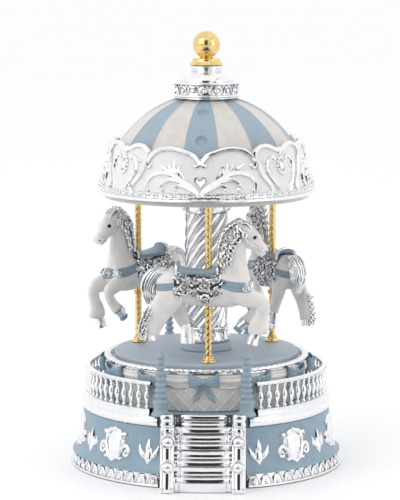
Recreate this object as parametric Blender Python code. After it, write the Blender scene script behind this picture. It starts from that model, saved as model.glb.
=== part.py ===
"""Carousel music box: a wind-up movement in a round base turns three horses under a domed canopy.

The frame is in metres with +Z up. The origin is the middle of the underside of the foot, and the front stairs
face -Y. Everything above the platform hangs on one centre rod and turns with the winding key.
"""

import math

import bmesh
import bpy
from mathutils import Matrix, Vector

MM = 0.001  # every dimension below is in millimetres
GAP = 0.3  # between touching pieces

# Base
FOOT_R = 60.0
FOOT_INNER_R = 57.3
FOOT_TOP_Z = 5.3
SHELL_BOTTOM_Z = 1.0
SHELL_TOP_R = 53.3
SHELL_STEP_Z = 24.6
SHELL_INNER_R = 50.6
LEDGE_R = 45.0
LEDGE_TOP_Z = 4.0
DECK_Z = 29.4
DECK_T = 2.7
DECK_HOLE_R = 36.0
BOSS_R = 2.6
BOSS_CIRCLE_R = 41.5
BOSS_ANGLES = (63, 183, 303)

# Balustrade, bollards and stairs
MOULDING_R = 55.2
MOULDING_LOW_Z = SHELL_STEP_Z + GAP
RAIL_R = 53.5
RAIL_W = 2.2
RAIL_TOP_Z = 43.8
RAIL_T = 1.7
PLINTH_TOP_Z = 32.3
PLINTH_R = 54.4
BALUSTER_R = 1.2
BALUSTERS_PER_SIDE = 15
BOLLARD_X = 18.2
BOLLARD_Y = 49.5
BOLLARD_TOP_Z = 57.4
BOLLARD_R = 4.0
STAIR_HALF_W = 12.3
STRINGER_HALF_W = 18.0
STAIR_BACK_Y = 47.6
STAIR_TOP_RISE = 4.7
STAIR_RISE = 6.25
STAIR_TREAD = 4.4
STAIR_STEPS = 5
STAIR_FOOT_Z = 0.3
STRINGER_TOP_Z = 31.6
STRINGER_BACK_Y = 53.8
STRINGER_FRONT_Y = 67.2

# Drum under the platform
DRUM_TOP_Z = 46.0
DRUM_TOP_R = 43.8
DRUM_FOOT_R = 41.2
DRUM_WALL = 2.0
DRUM_HOLE_R = 9.0
RIM_R = 45.2
RIM_INNER_R = 42.3
RIM_TOP_Z = 48.6
BOW_COUNT = 12
SWAG_R = 46.8
SWAG_DEPTH = 4.5
BOW_DEPTH = 10.0

# Turning assembly
PLATFORM_R = 40.65
PLATFORM_TOP_Z = 49.75
PLATFORM_T = 2.85
ROD_R = 1.3
BORE_R = 1.6
HUB_R = 7.5
COLUMN_R = 9.5
COLUMN_GROOVE_R = 8.3
COLUMN_FLUTES = 10
COLUMN_TURNS = 0.85
COLUMN_FOOT_R = 11.1
COLUMN_Z = 60.3
CAPITAL_Z = 111.0
CEILING_Z = 118.0
CEILING_T = 2.0
CEILING_R = 44.9
DOME_R = 45.6
DOME_CENTRE_Z = 117.3
DOME_T = 2.0
DOME_HOLE_R = 9.0
VALANCE_R = 48.3
VALANCE_Z = 119.9
VALANCE_TOP_R = 42.4
VALANCE_TOP_Z = 143.6
VALANCE_WALL = 1.7
PATTERN_TURN = -2.0
CAP_R = 14.75
CAP_TOP_Z = 175.1
FINIAL_Z = 175.4
FINIAL_BALL_R = 6.0
FINIAL_BALL_Z = 184.0

# Poles and horses
HORSES = ("front", "right", "left")
HORSE_TURN = 2.8
HORSE_YAW = {"front": 0.0, "right": -6.0, "left": -18.0}  # degrees off the tangent, as set on its pole
POLE_CIRCLE_R = 34.7
POLE_R = 1.5
POLE_BORE_R = 1.8
FLANGE_R = 3.3
COLLAR_R = 2.2
COLLAR_Z = 71.4

# Movement
RECESS_R = 24.0
RECESS_Z = 9.5
COVER_Z = 1.2
COVER_T = 1.5
PLATE_Z = 11.3
PLATE_T = 1.8
PLATE_X = (-15.0, 42.0)
PLATE_HALF_Y = 18.0
BARREL_R = 11.5
BARREL_TOP_Z = 23.4
WHEEL_R = 15.4
WHEEL_Z = 24.0
WHEEL_T = 1.5
WHEEL_TEETH = 24
PINION_TEETH = 6
PINION_PITCH_R = 3.5
CYLINDER_Z = 19.4
CYLINDER_R = 5.8
CYLINDER_X = (17.4, 33.2)
END_GEAR_TEETH = 18
END_GEAR_PITCH_R = 5.0
GOVERNOR_PINION_TEETH = 6
GOVERNOR_WHEEL_TEETH = 14
GOVERNOR_WHEEL_R = 3.2
WORM_X = 37.3
WORM_R = 1.0
FLY_R = 4.5
COMB_TEETH = 18

# Colours: base colour, roughness, metallic
BLUE = ((0.29, 0.40, 0.49), 0.45, 0.0)
CREAM = ((0.70, 0.66, 0.62), 0.42, 0.0)
SILVER = ((0.82, 0.83, 0.84), 0.16, 1.0)
GOLD = ((0.80, 0.55, 0.20), 0.22, 1.0)
STEEL = ((0.55, 0.56, 0.57), 0.35, 1.0)
BRASS = ((0.72, 0.55, 0.28), 0.32, 1.0)
BLACK = ((0.03, 0.03, 0.03), 0.5, 0.0)


def clear_scene():
    for thing in list(bpy.data.objects):
        bpy.data.objects.remove(thing, do_unlink=True)


def finish_of(name, finish):
    """A material for one piece."""
    colour, roughness, metallic = finish
    material = bpy.data.materials.new(name)
    material.use_nodes = True
    shader = material.node_tree.nodes["Principled BSDF"]
    shader.inputs["Base Color"].default_value = (*colour, 1.0)
    shader.inputs["Roughness"].default_value = roughness
    shader.inputs["Metallic"].default_value = metallic
    return material


def piece(name, mesh_data, finish, origin=(0, 0, 0), smooth_angle=35):
    """Makes a named object from a bmesh in millimetres, with its origin at a point in millimetres."""
    bmesh.ops.recalc_face_normals(mesh_data, faces=mesh_data.faces)
    mesh = bpy.data.meshes.new(name)
    mesh_data.to_mesh(mesh)
    mesh_data.free()
    mesh.transform(Matrix.Scale(MM, 4) @ Matrix.Translation(-Vector(origin)))
    mesh.shade_smooth()
    mesh.set_sharp_from_angle(angle=math.radians(smooth_angle))
    mesh.materials.append(finish_of(name, finish))
    thing = bpy.data.objects.new(name, mesh)
    thing.location = Vector(origin) * MM
    bpy.context.collection.objects.link(thing)
    return thing


def combine(target, tools, operation):
    """Unites the tools with the target, or cuts them from it, and removes them."""
    for tool in tools:
        modifier = target.modifiers.new("combine", "BOOLEAN")
        modifier.operation = operation
        modifier.solver = "EXACT"
        modifier.object = tool
    depsgraph = bpy.context.evaluated_depsgraph_get()
    mesh = bpy.data.meshes.new_from_object(target.evaluated_get(depsgraph))
    target.modifiers.clear()
    target.data = mesh
    for tool in tools:
        bpy.data.objects.remove(tool, do_unlink=True)
    return target


def skin(rings, along=False):
    """Joins rings of points into a surface, and caps its ends unless it closes along its length."""
    data = bmesh.new()
    made = [[data.verts.new(p) for p in ring] for ring in rings]
    pairs = list(zip(made, made[1:]))
    if along:
        pairs.append((made[-1], made[0]))
    count = len(made[0])
    for first, second in pairs:
        for i in range(count):
            j = (i + 1) % count
            data.faces.new((first[i], first[j], second[j], second[i]))
    if not along:
        data.faces.new(made[0])
        data.faces.new(made[-1])
    return data


def turned(profile, sides=32, centre=(0.0, 0.0)):
    """Turns (radius, height) points: an open profile ends on the axis, a closed one leaves a bore."""
    data = bmesh.new()
    rings = []
    for radius, height in profile:
        if radius == 0:
            rings.append([data.verts.new((centre[0], centre[1], height))])
            continue
        ring = []
        for i in range(sides):
            angle = math.tau * i / sides
            x = centre[0] + radius * math.cos(angle)
            y = centre[1] + radius * math.sin(angle)
            ring.append(data.verts.new((x, y, height)))
        rings.append(ring)
    pairs = list(zip(rings, rings[1:]))
    if profile[0][0] > 0:
        pairs.append((rings[-1], rings[0]))
    for first, second in pairs:
        for i in range(sides):
            j = (i + 1) % sides
            corners = [first[i % len(first)], first[j % len(first)]]
            corners += [second[j % len(second)], second[i % len(second)]]
            data.faces.new(list(dict.fromkeys(corners)))
    return data


def ring_profile(inner, outer, bottom, top):
    return [(inner, bottom), (outer, bottom), (outer, top), (inner, top)]


def polar(radius, degrees, height):
    angle = math.radians(degrees)
    return (radius * math.cos(angle), radius * math.sin(angle), height)


def arc(section, start, end, steps):
    """Sweeps a section of (radius, height) points from one angle to another, with flat ends."""
    rings = []
    for i in range(steps + 1):
        angle = start + (end - start) * i / steps
        rings.append([polar(r, angle, z) for r, z in section])
    return skin(rings)


def box(low, high):
    data = bmesh.new()
    bmesh.ops.create_cube(data, size=1.0)
    size = [h - l for l, h in zip(low, high)]
    middle = [(h + l) / 2 for l, h in zip(low, high)]
    for vert in data.verts:
        vert.co = Vector([m + c * s for m, c, s in zip(middle, vert.co, size)])
    return data


def prism_z(outline, bottom, top):
    return skin([[(x, y, z) for x, y in outline] for z in (bottom, top)])


def prism_x(outline, low, high):
    return skin([[(x, y, z) for y, z in outline] for x in (low, high)])


def rod_z(radius, bottom, top, sides=12, centre=(0.0, 0.0)):
    return turned([(0, bottom), (radius, bottom), (radius, top), (0, top)], sides, centre)


def along_x(data, y, z):
    """Lays a piece made along Z down along X, with its axis at the given y and z."""
    turn = Matrix.Rotation(math.radians(90), 4, "Y")
    bmesh.ops.transform(data, matrix=Matrix.Translation((0, y, z)) @ turn, verts=data.verts)
    return data


def gear_outline(teeth, root, tip, turn=0.0, root_share=0.42, tip_share=0.2):
    """A gear's outline with straight-sided teeth, thin enough to run with backlash."""
    outline = []
    for i in range(teeth):
        middle = math.tau * (i + turn) / teeth
        for radius, share in ((root, -root_share), (tip, -tip_share), (tip, tip_share), (root, root_share)):
            angle = middle + share * math.tau / teeth / 2
            outline.append((radius * math.cos(angle), radius * math.sin(angle)))
    return outline


def rotated(data, degrees):
    bmesh.ops.transform(data, matrix=Matrix.Rotation(math.radians(degrees), 4, "Z"), verts=data.verts)
    return data


def screw(name, x, y, head_z, shank_end_z, head_r, head_t, shank_r, finish):
    """A screw whose head starts at head_z, with the shank pointing the other way."""
    way = 1 if shank_end_z > head_z else -1
    profile = [(0, head_z - way * head_t), (head_r, head_z - way * head_t), (head_r, head_z)]
    profile += [(shank_r, head_z), (shank_r, shank_end_z), (0, shank_end_z)]
    return piece(name, turned(profile, 8, (x, y)), finish)


# ---- Base ----


def base_shell():
    profile = [
        (LEDGE_R, SHELL_BOTTOM_Z),
        (57.0, SHELL_BOTTOM_Z),
        (57.0, FOOT_TOP_Z + GAP),
        (59.2, FOOT_TOP_Z + GAP),
        (56.6, 9.0),
        (54.9, 16.0),
        (54.1, SHELL_STEP_Z),
        (SHELL_TOP_R, SHELL_STEP_Z),
        (SHELL_TOP_R, DECK_Z),
        (DECK_HOLE_R, DECK_Z),
        (DECK_HOLE_R, DECK_Z - DECK_T),
        (SHELL_INNER_R, DECK_Z - DECK_T),
        (SHELL_INNER_R, LEDGE_TOP_Z),
        (LEDGE_R, LEDGE_TOP_Z),
    ]
    shell = piece("base_shell", turned(profile, 36), BLUE)
    bosses = []
    for degrees in BOSS_ANGLES:
        x, y, _ = polar(BOSS_CIRCLE_R, degrees, 0)
        boss = turned(ring_profile(0.9, BOSS_R, COVER_Z + COVER_T + GAP, DECK_Z - DECK_T + 0.5), 8, (x, y))
        bosses.append(piece("boss", boss, BLUE))
    combine(shell, bosses, "UNION")
    cuts = []
    for side in (-1, 1):
        near, far = STAIR_BACK_Y - GAP, STRINGER_FRONT_Y + 2
        step_well = sorted((side * near, side * far))
        cuts.append(box((-STAIR_HALF_W - GAP, step_well[0], -1), (STAIR_HALF_W + GAP, step_well[1], STRINGER_TOP_Z)))
        wing_well = sorted((side * (STRINGER_BACK_Y - GAP), side * far))
        wing = STRINGER_HALF_W + GAP
        cuts.append(box((-wing, wing_well[0], -2), (wing, wing_well[1], STRINGER_TOP_Z)))
    combine(shell, [piece("cut", data, BLUE) for data in cuts], "DIFFERENCE")
    shell.data.materials.clear()
    shell.data.materials.append(finish_of("base_shell", BLUE))


def foot_rings():
    section = [(FOOT_INNER_R, 0), (FOOT_R, 0), (FOOT_R - 0.3, FOOT_TOP_Z), (FOOT_INNER_R, FOOT_TOP_Z)]
    clear = math.degrees(math.asin((STRINGER_HALF_W + 2 * GAP) / FOOT_INNER_R))
    for side, name in ((0, "foot_ring_right"), (180, "foot_ring_left")):
        piece(name, arc(section, side - 90 + clear, side + 90 - clear, 24), SILVER)


def baluster(degrees, radius):
    x, y, _ = polar(radius, degrees, 0)
    low, high = PLINTH_TOP_Z - 0.4, RAIL_TOP_Z - RAIL_T + 0.4
    profile = [(0, low), (0.6, low), (BALUSTER_R, low + 7.2), (0.6, high), (0, high)]
    return turned(profile, 4, (x, y))


def balustrades():
    """The silver moulding, plinth, balusters and rail of each side, one casting between the bollards."""
    low, inner = MOULDING_LOW_Z, SHELL_TOP_R + GAP
    moulding = [(inner, low), (MOULDING_R - 0.8, low), (MOULDING_R, low + 1.3), (MOULDING_R, low + 2.9)]
    moulding += [(PLINTH_R, DECK_Z - GAP), (inner, DECK_Z - GAP)]
    foot, neck_r = DECK_Z + GAP, PLINTH_R - 0.2
    plinth = [(51.0, foot), (inner + 0.25, foot), (inner + 0.25, foot - 1.05), (neck_r, foot - 1.05)]
    plinth += [(neck_r, foot), (PLINTH_R, foot + 0.2), (PLINTH_R, PLINTH_TOP_Z), (51.0, PLINTH_TOP_Z)]
    rail = ring_profile(RAIL_R - RAIL_W, RAIL_R, RAIL_TOP_Z - RAIL_T, RAIL_TOP_Z)
    edge = math.degrees(math.atan2(BOLLARD_X, BOLLARD_Y))
    start = edge + math.degrees((BOLLARD_R + 2 * GAP) / 52.7)
    for side, name in ((0, "balustrade_right"), (180, "balustrade_left")):
        first, last = side - 90 + start, side + 90 - start
        body = piece(name, arc(moulding, side - 90 + edge + 0.6, side + 90 - edge - 0.6, 18), SILVER)
        combine(body, [piece("plinth", arc(plinth, first, last, 18), SILVER)], "UNION")
        posts = bmesh.new()
        step = (last - first) / BALUSTERS_PER_SIDE
        for i in range(BALUSTERS_PER_SIDE):
            one = baluster(first + (i + 0.5) * step, RAIL_R - RAIL_W / 2)
            mesh = bpy.data.meshes.new("post")
            one.to_mesh(mesh)
            one.free()
            posts.from_mesh(mesh)
        combine(body, [piece("posts", posts, SILVER)], "UNION")
        combine(body, [piece("rail", arc(rail, first, last, 18), SILVER)], "UNION")


def bollards():
    """Blue tiered posts at the head of each stair."""
    bottom = DECK_Z + GAP
    profile = [(0, bottom), (BOLLARD_R, bottom), (BOLLARD_R, bottom + 1.6), (3.0, bottom + 3.4)]
    profile += [(2.5, 43.0), (3.1, 44.2), (3.1, 45.6), (1.8, 54.4), (1.2, 56.6), (0, BOLLARD_TOP_Z)]
    for end, y in (("front", -BOLLARD_Y), ("rear", BOLLARD_Y)):
        for side, x in (("left", -BOLLARD_X), ("right", BOLLARD_X)):
            piece(f"bollard_{end}_{side}", turned(profile, 8, (x, y)), BLUE)


def stairs(name, turn):
    """Five chromed steps between two stringers, cast as one piece."""
    outline = [(-STAIR_BACK_Y, STAIR_FOOT_Z), (-STAIR_BACK_Y, DECK_Z + GAP)]
    y, z = -STAIR_BACK_Y - 1.0, DECK_Z + GAP
    for i in range(STAIR_STEPS):
        outline.append((y, z))
        z = max(z - (STAIR_TOP_RISE if i == 0 else STAIR_RISE), STAIR_FOOT_Z)
        outline.append((y, z))
        y -= STAIR_TREAD
    steps = piece(name, rotated(prism_x(outline, -STAIR_HALF_W, STAIR_HALF_W), turn), SILVER)
    back, front = -STRINGER_BACK_Y, -STRINGER_FRONT_Y
    side = [(back, 0), (back, STRINGER_TOP_Z), (back - 3.7, STRINGER_TOP_Z), (back - 4.4, 27.0)]
    side += [(back - 5.7, 20.0), (back - 8.0, 12.5), (back - 11.0, 7.0), (front, 4.4), (front, 0)]
    wings = []
    for low, high in ((-STRINGER_HALF_W, 0.1 - STAIR_HALF_W), (STAIR_HALF_W - 0.1, STRINGER_HALF_W)):
        wings.append(piece("stringer", rotated(prism_x(side, low, high), turn), SILVER))
    combine(steps, wings, "UNION")


def lattice_drum():
    profile = [
        (DRUM_FOOT_R, DECK_Z + GAP),
        (DRUM_TOP_R, DRUM_TOP_Z),
        (DRUM_HOLE_R, DRUM_TOP_Z),
        (DRUM_HOLE_R, DRUM_TOP_Z - DRUM_WALL),
        (DRUM_TOP_R - 2.4, DRUM_TOP_Z - DRUM_WALL),
        (DRUM_FOOT_R - DRUM_WALL, DECK_Z + GAP),
    ]
    piece("lattice_drum", turned(profile, 36), CREAM)


def drum_rim():
    profile = ring_profile(RIM_INNER_R, RIM_R, DRUM_TOP_Z + GAP, RIM_TOP_Z)
    piece("drum_rim", turned(profile, 40), SILVER)


def swag_band():
    """Cloth swags under the rim with a bow between each pair, cast as one garland."""
    steps_per_bow = 6
    rings = []
    for i in range(BOW_COUNT * steps_per_bow):
        degrees = -90 + 360 * i / (BOW_COUNT * steps_per_bow)
        phase = (i % steps_per_bow) / steps_per_bow
        near_bow = min(phase, 1 - phase)
        sag = SWAG_DEPTH + 1.8 * math.cos(math.tau * (phase - 0.5))
        depth = BOW_DEPTH if near_bow < 0.05 else sag
        outer = SWAG_R + (0.8 if near_bow < 0.15 else 0)
        top = DRUM_TOP_Z - 0.2
        section = ring_profile(DRUM_TOP_R + GAP, outer, top - depth, top)
        rings.append([polar(r, degrees, z) for r, z in section])
    piece("swag_band", skin(rings, along=True), CREAM)


# ---- Underside and movement ----


def bottom_cover():
    floor = RECESS_Z + COVER_T
    outer = LEDGE_R - GAP
    profile = [(RECESS_R, COVER_Z), (outer, COVER_Z), (outer, COVER_Z + COVER_T)]
    profile += [(RECESS_R + COVER_T, COVER_Z + COVER_T), (RECESS_R + COVER_T, floor), (2.5, floor)]
    profile += [(2.5, RECESS_Z), (RECESS_R, RECESS_Z)]
    cover = piece("bottom_cover", turned(profile, 28), BLACK)
    holes = []
    for degrees in BOSS_ANGLES:
        x, y, _ = polar(BOSS_CIRCLE_R, degrees, 0)
        holes.append(piece("hole", rod_z(1.0, 0, 4, 8, (x, y)), BLACK))
    for x, y in plate_screw_places():
        holes.append(piece("hole", rod_z(1.2, RECESS_Z - 1, floor + 1, 8, (x, y)), BLACK))
    combine(cover, holes, "DIFFERENCE")


def plate_screw_places():
    return ((-11.0, -13.5), (13.0, 13.5))


def cover_screws():
    for i, degrees in enumerate(BOSS_ANGLES):
        x, y, _ = polar(BOSS_CIRCLE_R, degrees, 0)
        screw(f"cover_screw_{i + 1}", x, y, COVER_Z - GAP, 9.0, 1.8, 0.8, 0.6, STEEL)


def bedplate():
    low, high = PLATE_X
    plate = box((low, -PLATE_HALF_Y, PLATE_Z), (high, PLATE_HALF_Y, PLATE_Z + PLATE_T))
    plate = piece("movement_bedplate", plate, STEEL)
    cuts = [piece("hole", rod_z(2.2, PLATE_Z - 1, PLATE_Z + PLATE_T + 1, 16), STEEL)]
    for x, y in plate_screw_places():
        cuts.append(piece("hole", rod_z(1.2, PLATE_Z - 1, PLATE_Z + PLATE_T + 1, 10, (x, y)), STEEL))
    combine(plate, cuts, "DIFFERENCE")
    for i, (x, y) in enumerate(plate_screw_places()):
        screw(f"movement_screw_{i + 1}", x, y, RECESS_Z - GAP, PLATE_Z + PLATE_T + 0.6, 2.0, 0.9, 0.9, STEEL)


def spring_barrel():
    bottom = PLATE_Z + PLATE_T + GAP
    wall = 0.8
    profile = [(BARREL_R, bottom), (BARREL_R, BARREL_TOP_Z), (2.2, BARREL_TOP_Z), (2.2, BARREL_TOP_Z - wall)]
    profile += [(BARREL_R - wall, BARREL_TOP_Z - wall), (BARREL_R - wall, bottom)]
    piece("spring_barrel", turned(profile, 20), BRASS)


def mainspring():
    """The coiled strip between the arbor and the barrel wall, drawn half unwound."""
    turns, per_turn, thickness = 3, 12, 0.4
    inner, outer = ROD_R + 0.6, BARREL_R - 0.8 - GAP - thickness
    bottom, top = PLATE_Z + PLATE_T + 2 * GAP, BARREL_TOP_Z - 0.8 - GAP
    rings = []
    for i in range(turns * per_turn + 1):
        radius = inner + (outer - inner) * i / (turns * per_turn)
        degrees = 360 * i / per_turn
        rings.append([polar(r, degrees, z) for r, z in ring_profile(radius, radius + thickness, bottom, top)])
    piece("mainspring", skin(rings), STEEL)


def comb():
    """Eighteen tuned steel teeth reaching for the cylinder's pins."""
    low, high = CYLINDER_X[0] + 0.4, CYLINDER_X[1] - 0.4
    pitch = (high - low) / COMB_TEETH
    outline = [(low, -17.4), (high, -17.4)]
    for i in range(COMB_TEETH):
        right = high - i * pitch
        left = right - pitch * 0.72
        outline += [(right, -CYLINDER_R - 0.4), (left, -CYLINDER_R - 0.4)]
        if i < COMB_TEETH - 1:
            outline += [(left, -11.6), (right - pitch, -11.6)]
    plate = piece("comb", prism_z(outline, CYLINDER_Z - 0.4, CYLINDER_Z + 0.5), STEEL)
    block_low, block_high = (low, -17.4, PLATE_Z + PLATE_T + GAP), (high, -12.2, CYLINDER_Z - 0.4 - GAP)
    block = piece("comb_block", box(block_low, block_high), BRASS)
    places = [(low + 3.0, -14.8), (high - 3.0, -14.8)]
    holes = [piece("hole", rod_z(1.1, CYLINDER_Z - 3, CYLINDER_Z + 3, 10, p), STEEL) for p in places]
    combine(plate, holes, "DIFFERENCE")
    holes = [piece("hole", rod_z(1.0, CYLINDER_Z - 4, CYLINDER_Z, 10, p), BRASS) for p in places]
    combine(block, holes, "DIFFERENCE")
    for i, (x, y) in enumerate(places):
        screw(f"comb_screw_{i + 1}", x, y, CYLINDER_Z + 0.5 + GAP, CYLINDER_Z - 3.4, 1.7, 0.9, 0.6, STEEL)


def governor_y():
    small = END_GEAR_PITCH_R * GOVERNOR_PINION_TEETH / END_GEAR_TEETH
    return END_GEAR_PITCH_R + small


def worm_y():
    return governor_y() + GOVERNOR_WHEEL_R + WORM_R + GAP


def bearings():
    bottom = PLATE_Z + PLATE_T + GAP
    inner = piece("cylinder_bearing_inner", box((16.0, -2.4, bottom), (16.9, 2.4, CYLINDER_Z + 2.4)), BRASS)
    outer_box = box((35.3, -2.4, bottom), (36.1, governor_y() + 2.4, CYLINDER_Z + 2.4))
    outer = piece("cylinder_bearing_outer", outer_box, BRASS)
    for plate, centres in ((inner, (0.0,)), (outer, (0.0, governor_y()))):
        holes = []
        for y in centres:
            holes.append(piece("hole", along_x(rod_z(1.1, 10, 40, 10), y, CYLINDER_Z), BRASS))
        combine(plate, holes, "DIFFERENCE")
    seat = turned(ring_profile(0.8, 2.4, bottom, bottom + 1.4), 12, (WORM_X, worm_y()))
    piece("governor_seat", seat, BRASS)


def music_cylinder():
    """The pinned barrel with its drive pinion at the spring end and a gear at the governor end."""
    origin = (CYLINDER_X[0], 0, CYLINDER_Z)
    low, high = CYLINDER_X
    profile = [(0, 11.9), (0.8, 11.9), (0.8, low), (CYLINDER_R, low), (CYLINDER_R, high), (0.8, high)]
    profile += [(0.8, 36.6), (0, 36.6)]
    body = piece("music_cylinder", along_x(turned(profile, 14), 0, CYLINDER_Z), BRASS, origin)
    pinion = gear_outline(PINION_TEETH, PINION_PITCH_R - 1.1, PINION_PITCH_R + 0.7, 0.0)
    end_gear = gear_outline(END_GEAR_TEETH, END_GEAR_PITCH_R - 0.45, END_GEAR_PITCH_R + 0.3, 0.0)
    parts = [piece("pinion", along_x(prism_z(pinion, 12.7, 15.4), 0, CYLINDER_Z), BRASS)]
    parts.append(piece("gear", along_x(prism_z(end_gear, 33.0, 34.8), 0, CYLINDER_Z), BRASS))
    combine(body, parts, "UNION")


def governor_wheel():
    origin = (CYLINDER_X[1], governor_y(), CYLINDER_Z)
    small = END_GEAR_PITCH_R * GOVERNOR_PINION_TEETH / END_GEAR_TEETH
    shaft = rod_z(0.7, 33.0, 38.4, 10)
    body = piece("governor_wheel", along_x(shaft, governor_y(), CYLINDER_Z), BRASS, origin)
    pinion = gear_outline(GOVERNOR_PINION_TEETH, small - 0.5, small + 0.3, 0.5)
    wheel = gear_outline(GOVERNOR_WHEEL_TEETH, GOVERNOR_WHEEL_R - 0.5, GOVERNOR_WHEEL_R, 0.5)
    parts = [piece("pinion", along_x(prism_z(pinion, 33.3, 34.8), governor_y(), CYLINDER_Z), BRASS)]
    parts.append(piece("wheel", along_x(prism_z(wheel, 36.7, 37.9), governor_y(), CYLINDER_Z), BRASS))
    combine(body, parts, "UNION")


def governor_fly():
    """The two-start worm and its two air vanes, which hold the tune to an even speed."""
    centre = (WORM_X, worm_y())
    bottom = PLATE_Z + PLATE_T + GAP + 0.6
    thread_low, thread_high = bottom + 2.4, CYLINDER_Z + 3.0
    rings = []
    turns, per_turn, sides = 2, 8, 8
    for i in range(turns * per_turn + 1):
        turn = math.tau * i / per_turn
        z = thread_low + (thread_high - thread_low) * i / (turns * per_turn)
        ring = []
        for k in range(sides):
            angle = math.tau * k / sides
            radius = WORM_R - 0.4 * math.sin(angle) ** 2
            x = centre[0] + radius * math.cos(angle + turn)
            y = centre[1] + radius * math.sin(angle + turn)
            ring.append((x, y, z))
        rings.append(ring)
    body = piece("governor_fly", skin(rings), BRASS, (*centre, bottom))
    vane_low, vane_high = CYLINDER_Z + GOVERNOR_WHEEL_R + GAP, DECK_Z - DECK_T - 2 * GAP
    pivot = rod_z(0.5, bottom, vane_high + 0.2, 8, centre)
    x, y = centre
    vanes = box((x - FLY_R, y - 0.3, vane_low), (x + FLY_R, y + 0.3, vane_high))
    combine(body, [piece("pivot", pivot, BRASS), piece("vanes", vanes, BRASS)], "UNION")


# ---- Turning assembly ----


def winding_key():
    hub = piece("winding_key", rod_z(2.6, 2.4, RECESS_Z - 2 * GAP, 16), STEEL)
    wing = piece("wing", box((-9, -0.9, 1.2), (9, 0.9, 7.2)), STEEL)
    combine(hub, [wing], "UNION")
    combine(hub, [piece("bore", rod_z(BORE_R, 3.2, RECESS_Z + 1, 12), STEEL)], "DIFFERENCE")


def great_wheel():
    """The spring's drive wheel, with teeth that point down to the cylinder's pinion."""
    profile = [(BORE_R, WHEEL_Z - 0.3), (3.0, WHEEL_Z - 0.3), (3.0, WHEEL_Z), (WHEEL_R, WHEEL_Z)]
    profile += [(WHEEL_R, WHEEL_Z + WHEEL_T), (BORE_R, WHEEL_Z + WHEEL_T)]
    wheel = piece("great_wheel", turned(profile, 24), BRASS)
    teeth = bmesh.new()
    tooth_tip_z = CYLINDER_Z + PINION_PITCH_R - 0.6
    for i in range(WHEEL_TEETH):
        degrees = 360 * (i + 0.5) / WHEEL_TEETH
        rings = []
        for z, share in ((WHEEL_Z + 0.2, 0.30), (tooth_tip_z, 0.13)):
            half = share * 360 / WHEEL_TEETH / 2 * 1.2
            corners = ((12.5, -half), (WHEEL_R - 0.2, -half), (WHEEL_R - 0.2, half), (12.5, half))
            rings.append([polar(r, degrees + d, z) for r, d in corners])
        one = skin(rings)
        bmesh.ops.recalc_face_normals(one, faces=one.faces)
        mesh = bpy.data.meshes.new("tooth")
        one.to_mesh(mesh)
        one.free()
        teeth.from_mesh(mesh)
    combine(wheel, [piece("teeth", teeth, BRASS)], "UNION")


def shafts():
    piece("drive_shaft", rod_z(ROD_R, 3.5, 43.9, 12), STEEL)
    piece("centre_rod", rod_z(ROD_R, 44.2, FINIAL_BALL_Z, 12), STEEL)
    hub_low, hub_high = 40.6, PLATFORM_TOP_Z - PLATFORM_T - GAP
    profile = [(BORE_R, hub_low), (5.0, hub_low), (5.0, 42.6), (HUB_R, 43.0), (HUB_R, hub_high)]
    profile.append((BORE_R, hub_high))
    piece("turntable_hub", turned(profile, 16), BRASS)


def platform():
    profile = ring_profile(BORE_R, PLATFORM_R, PLATFORM_TOP_Z - PLATFORM_T, PLATFORM_TOP_Z)
    piece("turntable_platform", turned(profile, 40), BLUE)


def column_parts():
    low = PLATFORM_TOP_Z + GAP
    profile = [(BORE_R, low), (COLUMN_FOOT_R, low), (COLUMN_FOOT_R, 53.4), (9.4, 53.8)]
    profile += [(10.6, 57.6), (10.2, COLUMN_Z - GAP), (BORE_R, COLUMN_Z - GAP)]
    piece("column_base", turned(profile, 20), BLUE)
    levels = 10
    rings = []
    height = CAPITAL_Z - GAP - COLUMN_Z
    for i in range(levels + 1):
        turn = 360 * COLUMN_TURNS * i / levels
        z = COLUMN_Z + height * i / levels
        ring = []
        for k in range(COLUMN_FLUTES * 2):
            radius = COLUMN_R if k % 2 == 0 else COLUMN_GROOVE_R
            ring.append(polar(radius, turn + 360 * k / (COLUMN_FLUTES * 2), z))
        rings.append(ring)
    column = piece("column", skin(rings), SILVER)
    bore = piece("bore", rod_z(BORE_R, COLUMN_Z - 1, CAPITAL_Z + 1, 12), SILVER)
    combine(column, [bore], "DIFFERENCE")
    top = CEILING_Z - GAP
    profile = [(BORE_R, CAPITAL_Z), (9.8, CAPITAL_Z), (10.6, 113.4), (13.6, 116.2), (13.6, top)]
    profile.append((BORE_R, top))
    piece("column_capital", turned(profile, 20), SILVER)


def canopy_ceiling():
    profile = ring_profile(BORE_R, CEILING_R, CEILING_Z, CEILING_Z + CEILING_T)
    piece("canopy_ceiling", turned(profile, 36), CREAM)


def dome_z(radius, sphere_r):
    return DOME_CENTRE_Z + math.sqrt(sphere_r**2 - radius**2)


def canopy_dome():
    """A shell cut from a sphere, painted in sixteen stripes."""
    inner_r = DOME_R - DOME_T
    foot = CEILING_Z + CEILING_T + GAP
    low_outer = math.degrees(math.asin((foot - DOME_CENTRE_Z) / DOME_R))
    high_outer = math.degrees(math.acos(DOME_HOLE_R / DOME_R))
    low_inner = math.degrees(math.asin((foot - DOME_CENTRE_Z) / inner_r))
    high_inner = math.degrees(math.acos(DOME_HOLE_R / inner_r))
    profile = []
    steps = 4
    for sphere_r, low, high in ((DOME_R, low_outer, high_outer), (inner_r, high_inner, low_inner)):
        for i in range(steps + 1):
            angle = math.radians(low + (high - low) * i / steps)
            profile.append((sphere_r * math.cos(angle), DOME_CENTRE_Z + sphere_r * math.sin(angle)))
    piece("canopy_dome", turned(profile, 32), BLUE)


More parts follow.
